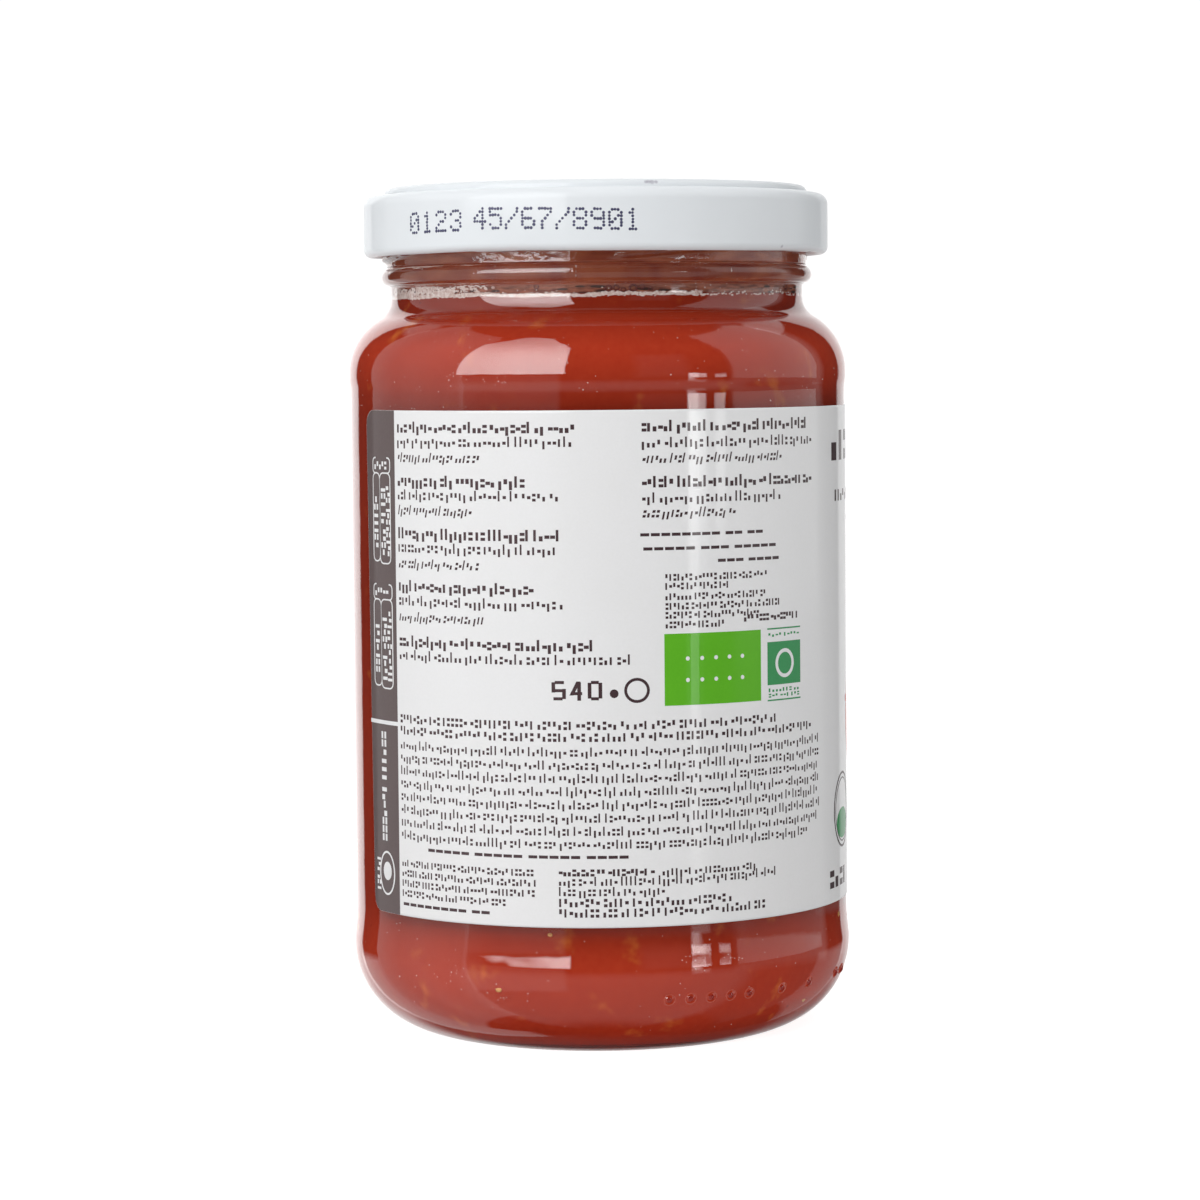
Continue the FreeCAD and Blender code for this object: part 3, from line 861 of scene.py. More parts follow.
def rings(directions, up, size, thick, wall, tilt=0.0):
    """Small rings with a four-sided section, flat on a wall that leans out by tilt."""
    around = np.linspace(0, 2 * np.pi, RING_STEPS, endpoint=False)
    sides = len(RING_SECTION)
    reach = size[:, None, None] + thick[:, None, None] * RING_SECTION[None, None, :, 0]
    along = reach * np.cos(around)[None, :, None]
    lift = reach * np.sin(around)[None, :, None]
    radii = wall + 0.05 * RING_SECTION[None, None, :, 1] + lift * math.sin(tilt)
    height = up[:, None, None] + lift * math.cos(tilt)
    points = turned(radii, height, directions[:, None, None] + np.degrees(along / radii))
    faces = grid_faces(RING_STEPS, sides, wrap_rows=True)
    every = faces[None] + RING_STEPS * sides * np.arange(len(directions))[:, None, None]
    return points.reshape(-1, 3), every.reshape(-1, 4)


ring_directions = np.concatenate([[3.4, 5.6, 7.6, 10.4, 13.0, 15.4, -17.0], rng.uniform(60, 300, 16)])
ring_up = level + np.concatenate([[1.25, 1.35, 1.0, 1.3, 1.5, 1.2, 1.6], rng.uniform(0.9, 2.4, 16)])
ring_size = np.concatenate([[0.42, 0.36, 0.3, 0.48, 0.3, 0.26, 0.3], rng.uniform(0.25, 0.5, 16)])
points, faces = rings(ring_directions, ring_up, ring_size, 0.3 * ring_size, mouth_radius + 0.16)
# Painted shade: the dark colour stands for the shaded edge of each bubble.
bubble_painted_shade = plain_gloss("bubble_painted_shade", (0.085, 0.008, 0.006), (0.13, 0.016, 0.010), 0.4, 0.4)
make_piece("film_bubbles", make_mesh("film_bubbles", points, faces, merge=False), bubble_painted_shade, "pulp")

# %% [markdown]
# ## How the mould dots catch light
# A mould dot shows as a pale rim, where its steep edge meets the heel, round a darker middle.
# Neither is a part of a real jar: a thin ring is a painted reflection for the rim, and a flat button a
# painted shade for the middle.

# %% Rims and middles of the mould dots
DULL = {"Specular IOR Level": 0.05}
dot_wall = heel_radius - heel_round + heel_round * math.cos(dot_tilt)
dot_up = np.full(dot_directions.size, heel_round - heel_round * math.sin(dot_tilt))
dot_size = np.full(dot_directions.size, 0.80)
points, faces = rings(dot_directions, dot_up, dot_size, 0.07 * dot_size, dot_wall + 0.01, dot_tilt)
# Painted reflection: the pale colour of the rim.
dot_painted_reflection = plain_gloss("dot_rim", (0.56, 0.14, 0.10), (0.48, 0.10, 0.07), 0.8, 0.6, **DULL)
make_piece("dot_rims", make_mesh("dot_rims", points, faces, merge=False), dot_painted_reflection, "glass")
centres = turned(dot_wall - 0.12, dot_up, dot_directions)
points, faces = joined_bodies(centres, np.full((dot_directions.size, 3), (0.31, 0.31, 0.06)), dot_directions)
# Painted shade: the dark colour of the middle.
dot_painted_shade = plain_gloss("dot_middle", (0.34, 0.018, 0.008), (0.26, 0.013, 0.006), 0.8, 0.7, **DULL)
make_piece("dot_middles", make_mesh("dot_middles", points, faces, merge=False), dot_painted_shade, "glass")

# %% [markdown]
# ## Air in the glass
# Jar glass holds seeds, which are tiny bubbles of air. They show as specks of light; here each is a pale
# ball, a painted glint, some in small swarms and some scattered over the shoulder and the heel.

# %% Air specks
# Each swarm: middle direction and height, spread of both, and number of specks.
SWARMS = (
    (-33.0, 92.9, 2.2, 0.5, 7), (-22.0, 92.7, 1.6, 0.4, 9), (-36.0, 12.6, 3.0, 0.9, 12),
    (30.5, 14.3, 1.4, 0.5, 8), (20.5, 14.2, 1.6, 0.5, 9), (-45.0, 90.0, 3.0, 1.5, 7),
    (-23.0, 8.5, 2.5, 0.6, 8), (-7.2, 96.9, 0.7, 0.5, 10), (-6.5, 95.1, 0.15, 0.22, 5),
)
SHOULDER_SPECKS, HEEL_SPECKS = 260, 160
scattered = SHOULDER_SPECKS + HEEL_SPECKS
speck_places = [
    np.stack([rng.normal(middle, wide, count), rng.normal(up, tall, count)], axis=-1)
    for middle, up, wide, tall, count in SWARMS
]
for count, low, high in ((SHOULDER_SPECKS, 89, 102), (HEEL_SPECKS, 4, 18)):
    speck_places.append(np.stack([rng.uniform(-180, 180, count), rng.uniform(low, high, count)], axis=-1))
speck_places = np.concatenate(speck_places)
outer_outline = rounded(outside_corners(), 0.55)
upper_wall = outer_outline[(outer_outline[:, 1] > 2) & (outer_outline[:, 0] > 28)]
speck_radius = np.interp(speck_places[:, 1], upper_wall[:, 1], upper_wall[:, 0]) - 0.25
speck_size = rng.uniform(0.035, 0.085, len(speck_places))
speck_size[-scattered:] *= rng.choice([0.6, 0.8, 1.1], scattered)
centres = turned(speck_radius, speck_places[:, 1], speck_places[:, 0])
points, faces = joined_bodies(centres, np.stack([speck_size] * 3, axis=-1), speck_places[:, 0])
# Painted glints: the pale colour stands for the light that each seed of air catches.
speck_painted_glint = plain_gloss("air_speck_painted_glint", (0.85, 0.74, 0.70), (0.62, 0.42, 0.36), 0.5, 0.3)
make_piece("glass_seeds", make_mesh("glass_seeds", points, faces, merge=False), speck_painted_glint, "glass")

# %% [markdown]
# ## The lid
# The lid is pressed from 0.25 mm tinplate: a dished top with a raised ring over the rim, a
# rounded corner, a skirt and a curl at the bottom that hides the cut edge. Four lugs are pressed
# in from the curl and hook under the thread ridges.

# %% Lid shell
ring_outer = thread_wall_radius + 0.1
ring_inner = mouth_radius - 0.05
shelf = lid_top - 1.1
dish = lid_top - 1.25
steel = 0.25
curl = 1.0
lug_direction = 64.0  # of the first lug


def lid_corners():
    """The shell from the middle of the top, down the skirt, round the curl and back under the top."""
    return [
        (0.0, dish - 0.35),
        (12.0, dish - 0.35, 2.0),
        (13.5, dish, 2.0),
        (ring_inner - 1.4, dish, 0.8),
        (ring_inner, lid_top, 0.6),
        (ring_outer, lid_top, 0.9),
        (ring_outer, shelf, 0.15),
        (lid_radius, shelf, 1.6),
        (lid_radius, lid_bottom, curl),
        (lid_radius - 2 * curl, lid_bottom, curl - 0.01),
        (lid_radius - 2 * curl, lid_bottom + 2 * curl, curl - 0.01),
        (lid_radius - steel, lid_bottom + 2 * curl, 0.1),
        (lid_radius - steel, shelf - steel, 1.35),
        (ring_outer - 0.6, shelf - steel, 0.2),
        (ring_outer - 1.4, rim + 0.02, 0.2),
        (ring_inner + 0.2, rim + 0.02, 0.2),
        (ring_inner - 1.2, dish - steel, 0.3),
        (0.0, dish - steel - 0.35),
    ]


def lid_grid(directions):
    """The turned shell, with the lower edge of the skirt a touch wavy where the lugs are pressed."""
    outline = rounded(lid_corners(), 0.25)
    grid = lathe(outline, directions)
    low = smooth_step((lid_bottom + 3.0 - outline[:, 1:]) / 3.0)
    angle = np.radians(directions)[None, :]
    wave = 0.5 + 0.5 * np.cos(4 * (angle - math.radians(lug_direction)))
    grid[..., 2] += low * 0.16 * wave**3
    pinch = 1.0 - low * 0.0035 * wave**3
    grid[..., 0] *= pinch
    grid[..., 1] *= pinch
    return grid


# Small dark marks on the lid: direction, radius, height and reach of each.
LID_MARKS = (
    (13.2, 30.0, 119.2, 0.40), (13.9, 30.0, 119.25, 0.45), (14.8, 30.0, 119.2, 0.5),
    (15.9, 30.0, 119.2, 0.4), (7.0, 30.2, 118.4, 0.22), (4.6, 31.4, 117.3, 0.2),
    (51.0, 33.0, 110.4, 0.45), (47.0, 33.0, 110.2, 0.3), (-38.0, 33.0, 110.2, 0.25),
    (150.0, 33.0, 111.5, 0.5), (215.0, 30.0, 119.2, 0.6), (268.0, 33.0, 113.0, 0.35),
)


def enamel_material():
    """White enamel: faint orange peel, a few scuffs to grey steel and a little grime."""
    material, tree, output = new_material("lid_enamel_white")
    place = object_place(tree)
    cloud = use_group(tree, mottle, {"Place": place, "Size": 9.0, "Contrast": 1.2}).outputs["Share"]
    scuffs = {"Place": place, "Spacing": 7.0, "Reach": 0.035, "Kept": 0.45}
    scuff = use_group(tree, specks, scuffs).outputs["Share"]
    white = blend(tree, cloud, (0.77, 0.80, 0.825, 1), (0.81, 0.84, 0.865, 1))
    colour = blend(tree, math_node(tree, "MULTIPLY", scuff, 0.5), white, (0.35, 0.35, 0.37, 1))
    for direction, radius, up, reach in LID_MARKS:
        middle = Vector(turned(radius, up, np.array([direction]))[0] * MM)
        gap = add(tree, "ShaderNodeVectorMath", {0: place, 1: middle}, operation="DISTANCE").outputs["Value"]
        mark = ramp(tree, gap, reach * MM, 0.4 * reach * MM)
        colour = blend(tree, math_node(tree, "MULTIPLY", mark, 0.45), colour, (0.20, 0.16, 0.24, 1))
    body = add(
        tree,
        "ShaderNodeBsdfPrincipled",
        {
            "Base Color": colour,
            "Roughness": 0.5,
            "Specular IOR Level": 0.05,
            "Coat Weight": 0.26,
            "Coat Roughness": 0.07,
            "Normal": relief_normal(tree, place, 4.0, 0.008, 0.5, 0.0008),
        },
    )
    tree.links.new(body.outputs[0], output.inputs["Surface"])
    return material


enamel = enamel_material()
lid_shell = lid_grid(full_turn(288))
lid_mesh = make_mesh("lid_shell", lid_shell, grid_faces(*lid_shell.shape[:2]))
make_piece("lid_shell", lid_mesh, enamel, "lid_enamel", "lid")

# %% Lugs and sealing ring
LUG_STEPS, LUG_SIDES = 25, 24


def lug_grid(centre):
    """One lug: a rounded block (a superellipse section) swept along a short arc under the thread."""
    across = (thread_wall_radius + 0.5 + lid_radius - curl) / 2
    half_across = (lid_radius - curl - thread_wall_radius - 0.5) / 2
    along = np.linspace(-1.0, 1.0, LUG_STEPS)[:, None]
    round_section = np.linspace(0, 2 * np.pi, LUG_SIDES, endpoint=False)[None, :]
    end = np.sqrt(np.clip(1 - np.abs(along) ** 6, 0, 1))
    cosine, sine = np.cos(round_section), np.sin(round_section)
    wide = np.sign(cosine) * np.abs(cosine) ** 0.5
    tall = np.sign(sine) * np.abs(sine) ** 0.5
    radius = across + half_across * wide * end
    height = lid_bottom + 0.58 + 0.5 * tall * end
    return turned(radius, height, centre + 8.0 * along)


lug_parts = [lug_grid(lug_direction + 90.0 * quarter) for quarter in range(4)]
lug_faces = grid_faces(LUG_STEPS, LUG_SIDES)
points = np.concatenate([part.reshape(-1, 3) for part in lug_parts])
faces = np.concatenate([lug_faces + LUG_STEPS * LUG_SIDES * number for number in range(4)])
make_piece("lid_lugs", make_mesh("lid_lugs", points, faces), enamel, "lid_enamel")

seal_outline = rounded(
    [
        (mouth_radius - 1.0, rim + 0.10),
        (mouth_radius - 1.0, rim - 0.35, 0.3),
        (mouth_radius - 0.15, rim - 0.35, 0.3),
        (mouth_radius - 0.1, rim + 0.05, 0.1),
        (mouth_radius - 0.5, rim + 0.2, 0.1),
        (mouth_radius - 1.0, rim + 0.10),
    ],
    0.2,
)[:-1]
seal_grid = lathe(seal_outline, full_turn(120))
seal_faces = grid_faces(*seal_grid.shape[:2], wrap_rows=True)
seal_white = plain_gloss("seal_compound", (0.72, 0.70, 0.64), (0.66, 0.63, 0.56), 1.2, 0.5)
make_piece("lid_seal", make_mesh("lid_seal", seal_grid, seal_faces), seal_white, "lid_enamel")

# %% [markdown]
# ## Printed marks on curved surfaces
# Ink is a real layer here, one hundredth of a millimetre thick. Each mark is a four-cornered
# patch on the unrolled surface, given by its distance along the edge and its height, and it is
# wrapped round the jar as a thin closed slab. Long patches are cut into columns to follow the
# curve.

# %% Wrapping marks round the jar
INK = 0.012  # how far a mark stands out of its surface, and how far it sinks in


def wrap(quads, radius, start, columns=1):
    """Closed slabs from patches (n, 4 corners, 2) that lie at a radius from a start direction.

    A corner that is s along and z up goes to direction start + s / radius, in radians.
    """
    quads = np.asarray(quads, float).reshape(-1, 4, 2)
    share = np.linspace(0, 1, columns + 1)[None, :, None]
    low = quads[:, None, 0] + share * (quads[:, None, 1] - quads[:, None, 0])
    high = quads[:, None, 3] + share * (quads[:, None, 2] - quads[:, None, 3])
    ring = np.stack([low, high, high, low], axis=2)
    radii = radius + np.array([INK, INK, -INK, -INK])
    directions = start + np.degrees(ring[..., 0] / radius)
    points = turned(radii, ring[..., 1], directions).reshape(-1, 3)
    column = np.arange(columns)[:, None]
    side = np.arange(4)[None, :]
    here = column * 4 + side
    beside = column * 4 + (side + 1) % 4
    around = np.stack([here, beside, beside + 4, here + 4], axis=-1).reshape(-1, 4)
    last = 4 * columns
    ends = np.array([[3, 2, 1, 0], [last, last + 1, last + 2, last + 3]])
    faces = np.concatenate([around, ends])
    every = faces[None] + (last + 4) * np.arange(len(quads))[:, None, None]
    return points, every.reshape(-1, 4)


def merged(parts):
    """Several (points, faces) joined into one."""
    counts = np.cumsum([0] + [len(points) for points, faces in parts])
    return (
        np.concatenate([points for points, faces in parts]),
        np.concatenate([faces + count for (points, faces), count in zip(parts, counts)]),
    )


def rectangle(left, bottom, right, top):
    """The four corners of an upright patch."""
    return [(left, bottom), (right, bottom), (right, top), (left, top)]


# %% [markdown]
# ## The date code on the lid
# A packing line sprays a code on the skirt as a grid of ink dots. The numbers here are plain
# ones. Each figure is seven rows of five dots, and a row is a number whose bits say which dots
# are there.

# %% Date code
FIGURES = {
    "0": (14, 17, 19, 21, 25, 17, 14),
    "1": (4, 12, 4, 4, 4, 4, 14),
    "2": (14, 17, 1, 6, 8, 16, 31),
    "3": (14, 17, 1, 6, 1, 17, 14),
    "4": (2, 6, 10, 18, 31, 2, 2),
    "5": (31, 16, 30, 1, 1, 17, 14),
    "6": (14, 16, 16, 30, 17, 17, 14),
    "7": (31, 1, 2, 4, 8, 8, 8),
    "8": (14, 17, 17, 14, 17, 17, 14),
    "9": (14, 17, 17, 15, 1, 1, 14),
    "/": (1, 1, 2, 4, 8, 16, 16),
    " ": (0, 0, 0, 0, 0, 0, 0),
}
code_text = "0123 45/67/8901"
code_left, code_middle = -28.8, lid_bottom + 4.35
dot_pitch = (0.40, 0.43)
figure_pitch = 2.36
first_pitch = 2.6  # the first four figures stand a little further apart
group_gap = 1.35


def code_dots():
    """Places (along, up) of every ink dot of the code, on the unrolled skirt."""
    places = []
    start = 0.0
    pitch = first_pitch
    for figure in code_text:
        for row, bits in enumerate(FIGURES[figure]):
            for column in range(5):
                if bits >> (4 - column) & 1:
                    places.append((start + column * dot_pitch[0], (3 - row) * dot_pitch[1]))
        pitch = figure_pitch if figure == " " else pitch
        start += group_gap if figure == " " else pitch
    return np.array(places)


dots = code_dots()
dots[:, 0] += code_left
first_group = dots[:, 0] < code_left + 4 * first_pitch
climb = 0.02 * (dots[:, 0] - code_left)  # the line of figures climbs, then falls a little
dots[:, 1] += code_middle - 0.17 + np.where(first_group, climb, 0.62 - climb)
dots += rng.normal(0, 0.02, dots.shape)
code_directions = np.degrees(dots[:, 0] / lid_radius)
centres = turned(lid_radius, dots[:, 1], code_directions)
dot_sizes = np.stack([rng.uniform(0.19, 0.235, len(dots))] * 2 + [np.full(len(dots), 0.02)], axis=-1)
points, faces = joined_bodies(centres, dot_sizes, code_directions)
code_ink = plain_gloss("code_ink", (0.03, 0.03, 0.075), (0.05, 0.05, 0.11), 0.4, 0.5)
make_piece("lid_date_code", make_mesh("lid_date_code", points, faces, merge=False), code_ink, "lid_enamel")

# %% [markdown]
# ## Paper label
# The label is coated paper, 0.1 mm thick, glued on all over. It stops short of meeting itself,
# and its corners are rounded. The sheet is a closed band: outer face, inner face and the cut
# edge, with its height at each end following the corner's arc.

# %% Label sheet
label_start = -70.0
label_end = 255.05
label_length = math.radians(label_end - label_start) * label_radius
corner = 2.0
edge_low, edge_high = 3.9, 2.9  # where the sheet's first edge lies at its bottom and its top


def sheet_edge(up):
    """Distance of the first edge along the sheet, which was cut a little out of true."""
    share = (up - label_bottom) / (label_top - label_bottom)
    return edge_low + (edge_high - edge_low) * share


def sheet_columns(along, inset=0.0):
    """Lowest and highest point of the sheet at each distance, following its rounded corners."""
    first = sheet_edge(label_bottom) + inset
    last = label_length - inset
    into = np.clip(corner - np.minimum(along - first, last - along), 0, corner)
    cut = corner - np.sqrt(np.clip(corner**2 - into**2, 0, None)) + inset
    return label_bottom + cut, label_top - cut


def lean(along, up):
    """The distance along, pushed so that upright columns near the first edge follow its slant."""
    near = np.clip(1 - (along - edge_low) / 5.0, 0, 1)
    return along + (sheet_edge(up) - edge_low) * near


def label_grid():
    """Columns along the label, each a ring of outer and inner points between its two heights."""
    near = corner * (1 - np.cos(np.linspace(0, np.pi / 2, 9)))
    middle = np.linspace(edge_low + corner, label_length - corner, 260)[1:-1]
    along = np.concatenate([edge_low + near, middle, label_length - near[::-1]])
    share = np.array([0, 0.004, 0.25, 0.5, 0.75, 0.996, 1.0])
    low, high = sheet_columns(along)
    heights = low[:, None] + (high - low)[:, None] * share
    heights = np.concatenate([heights, heights[:, ::-1]], axis=1)
    radii = np.array([label_radius] * len(share) + [panel_radius - 0.02] * len(share))
    directions = label_start + np.degrees(lean(along[:, None], heights) / label_radius)
    return turned(radii[None, :], heights, directions)


def capped(grid):
    """Faces of a grid whose rows are closed rings, with both end rings filled by squares."""
    rows, columns = grid.shape[:2]
    sides = grid_faces(rows, columns)
    half = columns // 2
    first = np.arange(half - 1)
    cap = np.stack([first, first + 1, columns - 2 - first, columns - 1 - first], axis=-1)
    return np.concatenate([sides, cap, cap[:, ::-1] + (rows - 1) * columns])


def paper_material(name, colour, second):
    """Coated paper or ink on it: faint fibres, a fine grain in the gloss."""
    material, tree, output = new_material(name)
    place = object_place(tree)
    fibre = use_group(tree, mottle, {"Place": place, "Size": 0.35, "Contrast": 1.6}).outputs["Share"]
    cloud = use_group(tree, mottle, {"Place": place, "Size": 12.0, "Contrast": 1.4}).outputs["Share"]
    share = math_node(tree, "MULTIPLY", math_node(tree, "ADD", fibre, cloud), 0.5)
    body = add(
        tree,
        "ShaderNodeBsdfPrincipled",
        {
            "Base Color": blend(tree, share, (*colour, 1), (*second, 1)),
            "Roughness": 0.6,
            "Specular IOR Level": 0.15,
            "Coat Weight": 0.5,
            "Coat Roughness": 0.08,
            "Normal": relief_normal(tree, place, 5.0, 0.010, 0.3, 0.0012),
        },
    )
    tree.links.new(body.outputs[0], output.inputs["Surface"])
    return material


paper_white = paper_material("label_paper", (0.80, 0.80, 0.80), (0.85, 0.85, 0.86))
sheet = label_grid()
label_mesh = make_mesh("label_sheet", sheet, capped(sheet))
make_piece("label_sheet", label_mesh, paper_white, "label_paper", "label")
print("label length", round(label_length, 1))

# %% [markdown]
# ## Print on the label
# The label's print is shown as plain shapes. A line of print is a row of small solid blocks, a
# few to a group, so that it has the weight, the gaps and the length of print but no lettering.
# One table holds every line: its kind, where it starts and ends along the label, and the height
# of its middle. The only figures are three plain ones.

# %% Blocks and figures
# Form of block: its width in plain widths, and the stretches of the line's height that it fills.
FORMS = (
    (1.0, ((0.0, 1.0),)),
    (1.7, ((0.0, 0.36), (0.64, 1.0))),
    (1.7, ((0.3, 0.7),)),
    (1.3, ((0.0, 0.6),)),
    (1.3, ((0.4, 1.0),)),
    (0.9, ((0.0, 1.35),)),
    (1.1, ((-0.3, 0.75),)),
)
# Kind of line: height, share of a pitch that is solid, pitch, slant, and how many forms it uses.
KINDS = {
    "bold": (1.14, 0.52, 0.77, 0.0, 7),
    "plain": (1.04, 0.40, 0.71, 0.0, 7),
    "italic": (0.98, 0.40, 0.61, 0.22, 7),
    "small": (0.92, 0.40, 0.615, 0.0, 7),
    "capitals": (1.14, 0.40, 0.72, 0.0, 5),
    "tiny": (0.92, 0.42, 0.57, 0.0, 5),
    "tiny bold": (0.95, 0.52, 0.62, 0.0, 5),
    "minute": (0.52, 0.42, 0.70, 0.0, 5),
    "upright": (1.2, 0.46, 1.0, 0.0, 5),
    "upright wide": (1.3, 0.50, 1.12, 0.0, 5),
    "upright small": (1.1, 0.46, 0.86, 0.0, 5),
    "large": (2.5, 0.45, 2.2, 0.0, 5),
    "title": (4.2, 0.48, 3.9, 0.0, 5),
    "subtitle": (1.6, 0.42, 1.6, 0.0, 5),
    "dashes": (0.42, 0.84, 1.5, 0.0, 1),
}
GROUP_GAP = 0.45  # of a pitch
# A figure is a list of strokes (left, bottom, right, top), in widths across and heights up.
FIGURE_STROKES = {
    "5": ((0, 0.5, 0, 0.9), (1, 0.1, 1, 0.5), (0, 0, 0.86, 0), (0, 0.5, 1, 0.5), (0.14, 1, 1, 1)),
    "4": ((0.72, 0, 0.72, 0.9), (0, 0.32, 1, 0.32), (0, 0.32, 0.66, 0.95)),
    "0": ((0, 0.13, 0, 0.87), (1, 0.13, 1, 0.87), (0.14, 0, 0.86, 0), (0.14, 1, 0.86, 1)),
}
INKS = {}


def print_row(kind, left, right, middle):
    """Patches of one row of plain blocks, in groups of two to nine, stretched to end at right."""
    tall, solid, pitch, slant, forms = KINDS[kind]
    chosen, places = [], []
    at, group = 0.0, int(rng.integers(3, 9))
    while at < (right - left) / pitch - 0.3:
        chosen.append(FORMS[int(rng.integers(0, forms))])
        places.append(at)
        at += 1.0
        group -= 1
        if group == 0:
            at += GROUP_GAP
            group = int(rng.integers(2, 10))
    pitch = (right - left) / at
    base = middle - tall / 2
    quads = []
    for (wide, stretches), place in zip(chosen, places):
        start = left + place * pitch
        end = start + wide * solid * pitch
        for low, high in stretches:
            y0, y1 = low * tall, high * tall
            quads.append([(start + slant * y0, base + y0), (end + slant * y0, base + y0),
                          (end + slant * y1, base + y1), (start + slant * y1, base + y1)])
    return quads


def figure_quads(strokes, start, base, width, body, stroke):
    """Corner patches of one figure's strokes, level ones a little thinner than the others."""
    quads = []
    for left, low, right, high in strokes:
        if left != right and low != high:  # a stroke that leans
            x0, x1 = start + left * width, start + right * width
            y0 = base + low * (body - stroke)
            y1 = base + high * (body - stroke) + stroke
            side = stroke * 0.55
            quads.append([(x0 - side, y0), (x0 + side, y0), (x1 + side, y1), (x1 - side, y1)])
            continue
        side = stroke / 2 if left == right else 0.0
        rise = stroke / 2 if left == right else stroke * 0.42
        y0 = base + low * (body - stroke) + stroke / 2 - rise
        y1 = base + high * (body - stroke) + stroke / 2 + rise
        quads.append(rectangle(start + left * width - side, y0, start + right * width + side, y1))
    return quads


def quarter_turned(quads, across, middle):
    """Patches turned a quarter, so that a row reads upwards along a line at the given place."""
    quads = np.array(quads, float)
    return np.stack([across - quads[..., 1], middle + quads[..., 0]], axis=-1).tolist()


def ink(name, quads, columns=1):
    """Adds patches to the ink of that name; wide ones are cut into columns."""
    INKS.setdefault(name, []).append(wrap(quads, label_radius, label_start, columns))


def frame_quads(left, bottom, right, top, stroke, rounding=0.7):
    """A rounded frame: four straight bars and four corner arcs of three patches each."""
    quads = [
        rectangle(left + rounding, top - stroke, right - rounding, top),
        rectangle(left + rounding, bottom, right - rounding, bottom + stroke),
        rectangle(left, bottom + rounding, left + stroke, top - rounding),
        rectangle(right - stroke, bottom + rounding, right, top - rounding),
    ]
    for quarter, (x, y) in enumerate(
        [(right - rounding, top - rounding), (left + rounding, top - rounding),
         (left + rounding, bottom + rounding), (right - rounding, bottom + rounding)]
    ):
        quads += ring_quads(x, y, rounding, rounding, stroke, quarter * 90.0, quarter * 90.0 + 90.0, 3)
    return quads


def ring_quads(x, y, wide, tall, stroke, start=0.0, end=360.0, count=28):
    """An oval line: patches between an outer oval and one that is a stroke smaller."""
    angle = np.radians(np.linspace(start, end, count + 1))
    outer = np.stack([x + wide * np.cos(angle), y + tall * np.sin(angle)], axis=-1)
    inner = np.stack([x + (wide - stroke) * np.cos(angle), y + (tall - stroke) * np.sin(angle)], axis=-1)
    return np.stack([inner[:-1], outer[:-1], outer[1:], inner[1:]], axis=1)[:, ::-1].tolist()


def oval_quads(x, y, wide, tall, rows=10):
    """A filled oval: level patches whose ends follow the oval."""
    height = np.sin(np.linspace(-np.pi / 2, np.pi / 2, rows + 1))
    reach = np.sqrt(np.clip(1 - height**2, 0, None)) * wide + 0.001
    quads = []
    shares = np.linspace(-1, 1, math.ceil(3 * wide) + 1)  # narrow enough to follow the curve
    for low, high, a, b in zip(height, height[1:], reach, reach[1:]):
        for left, right in zip(shares, shares[1:]):
            quads.append([(x + a * left, y + tall * low), (x + a * right, y + tall * low),
                          (x + b * right, y + tall * high), (x + b * left, y + tall * high)])
    return quads


# %% The table of lines
LINES = [
    ("bold", 11.7, 40.3, 86.1), ("plain", 11.7, 40.3, 84.2), ("italic", 11.7, 26.7, 82.0),
    ("bold", 11.7, 33.3, 78.8), ("plain", 11.7, 38.1, 76.9), ("italic", 11.7, 25.4, 74.8),
    ("bold", 11.7, 38.2, 71.6), ("plain", 11.7, 37.7, 69.7), ("italic", 11.7, 26.4, 67.5),
    ("bold", 11.7, 34.4, 64.4), ("plain", 11.7, 38.6, 62.4), ("italic", 11.7, 27.4, 60.2),
    ("bold", 11.7, 42.6, 56.8), ("plain", 11.7, 47.7, 54.9),
    ("bold", 49.1, 76.9, 86.2), ("plain", 49.1, 78.2, 84.0), ("italic", 49.1, 71.4, 81.9),
    ("bold", 49.1, 78.4, 78.7), ("plain", 49.1, 71.1, 76.6), ("italic", 49.1, 63.1, 74.6),
    ("tiny", 52.2, 68.3, 66.0), ("tiny", 52.2, 62.0, 64.8), ("tiny", 52.2, 68.0, 63.4),
    ("tiny", 52.2, 71.0, 62.1), ("tiny", 52.2, 67.0, 60.9), ("tiny", 52.2, 61.0, 59.6),
    ("tiny bold", 64.0, 74.5, 60.1),
    ("capitals", 11.7, 70.3, 46.2), ("capitals", 11.7, 78.0, 44.6),
    ("tiny", 11.7, 34.3, 26.2), ("tiny", 11.7, 34.5, 24.8), ("tiny", 11.7, 34.2, 23.4),
    ("tiny", 11.7, 30.0, 22.0),
    ("tiny bold", 37.4, 50.5, 26.3), ("small", 51.5, 66.0, 26.2), ("small", 37.4, 70.0, 25.0),
    ("small", 37.4, 52.0, 23.6), ("capitals", 37.4, 62.0, 22.2), ("capitals", 37.4, 67.6, 20.8),
]
paragraph_ends = (79.8, 80.0, 79.4, 80.0, 79.6, 80.0, 79.5, 76.6)
LINES += [("small", 11.7, end, height) for end, height in zip(paragraph_ends, np.linspace(42.5, 30.0, 8))]
dashed = ((48.8, 67.6, 71.8), (49.2, 70.7, 69.9), (59.9, 70.6, 68.1), (17.2, 47.1, 28.4), (11.9, 27.7, 20.5))


LINES += [("dashes", *line) for line in dashed]
ink("brown", [quad for line in LINES for quad in print_row(*line)])
for figure, start in zip("540", 36.9 + 2.45 * np.arange(3)):
    ink("brown", figure_quads(FIGURE_STROKES[figure], start, 49.6, 1.45, 2.7, 0.5))
ink("brown", oval_quads(45.1, 50.5, 0.6, 0.6, 6) + ring_quads(48.2, 50.9, 1.75, 1.7, 0.4))

# %% Strip, green fields and the start of the front
strip_right = 11.0


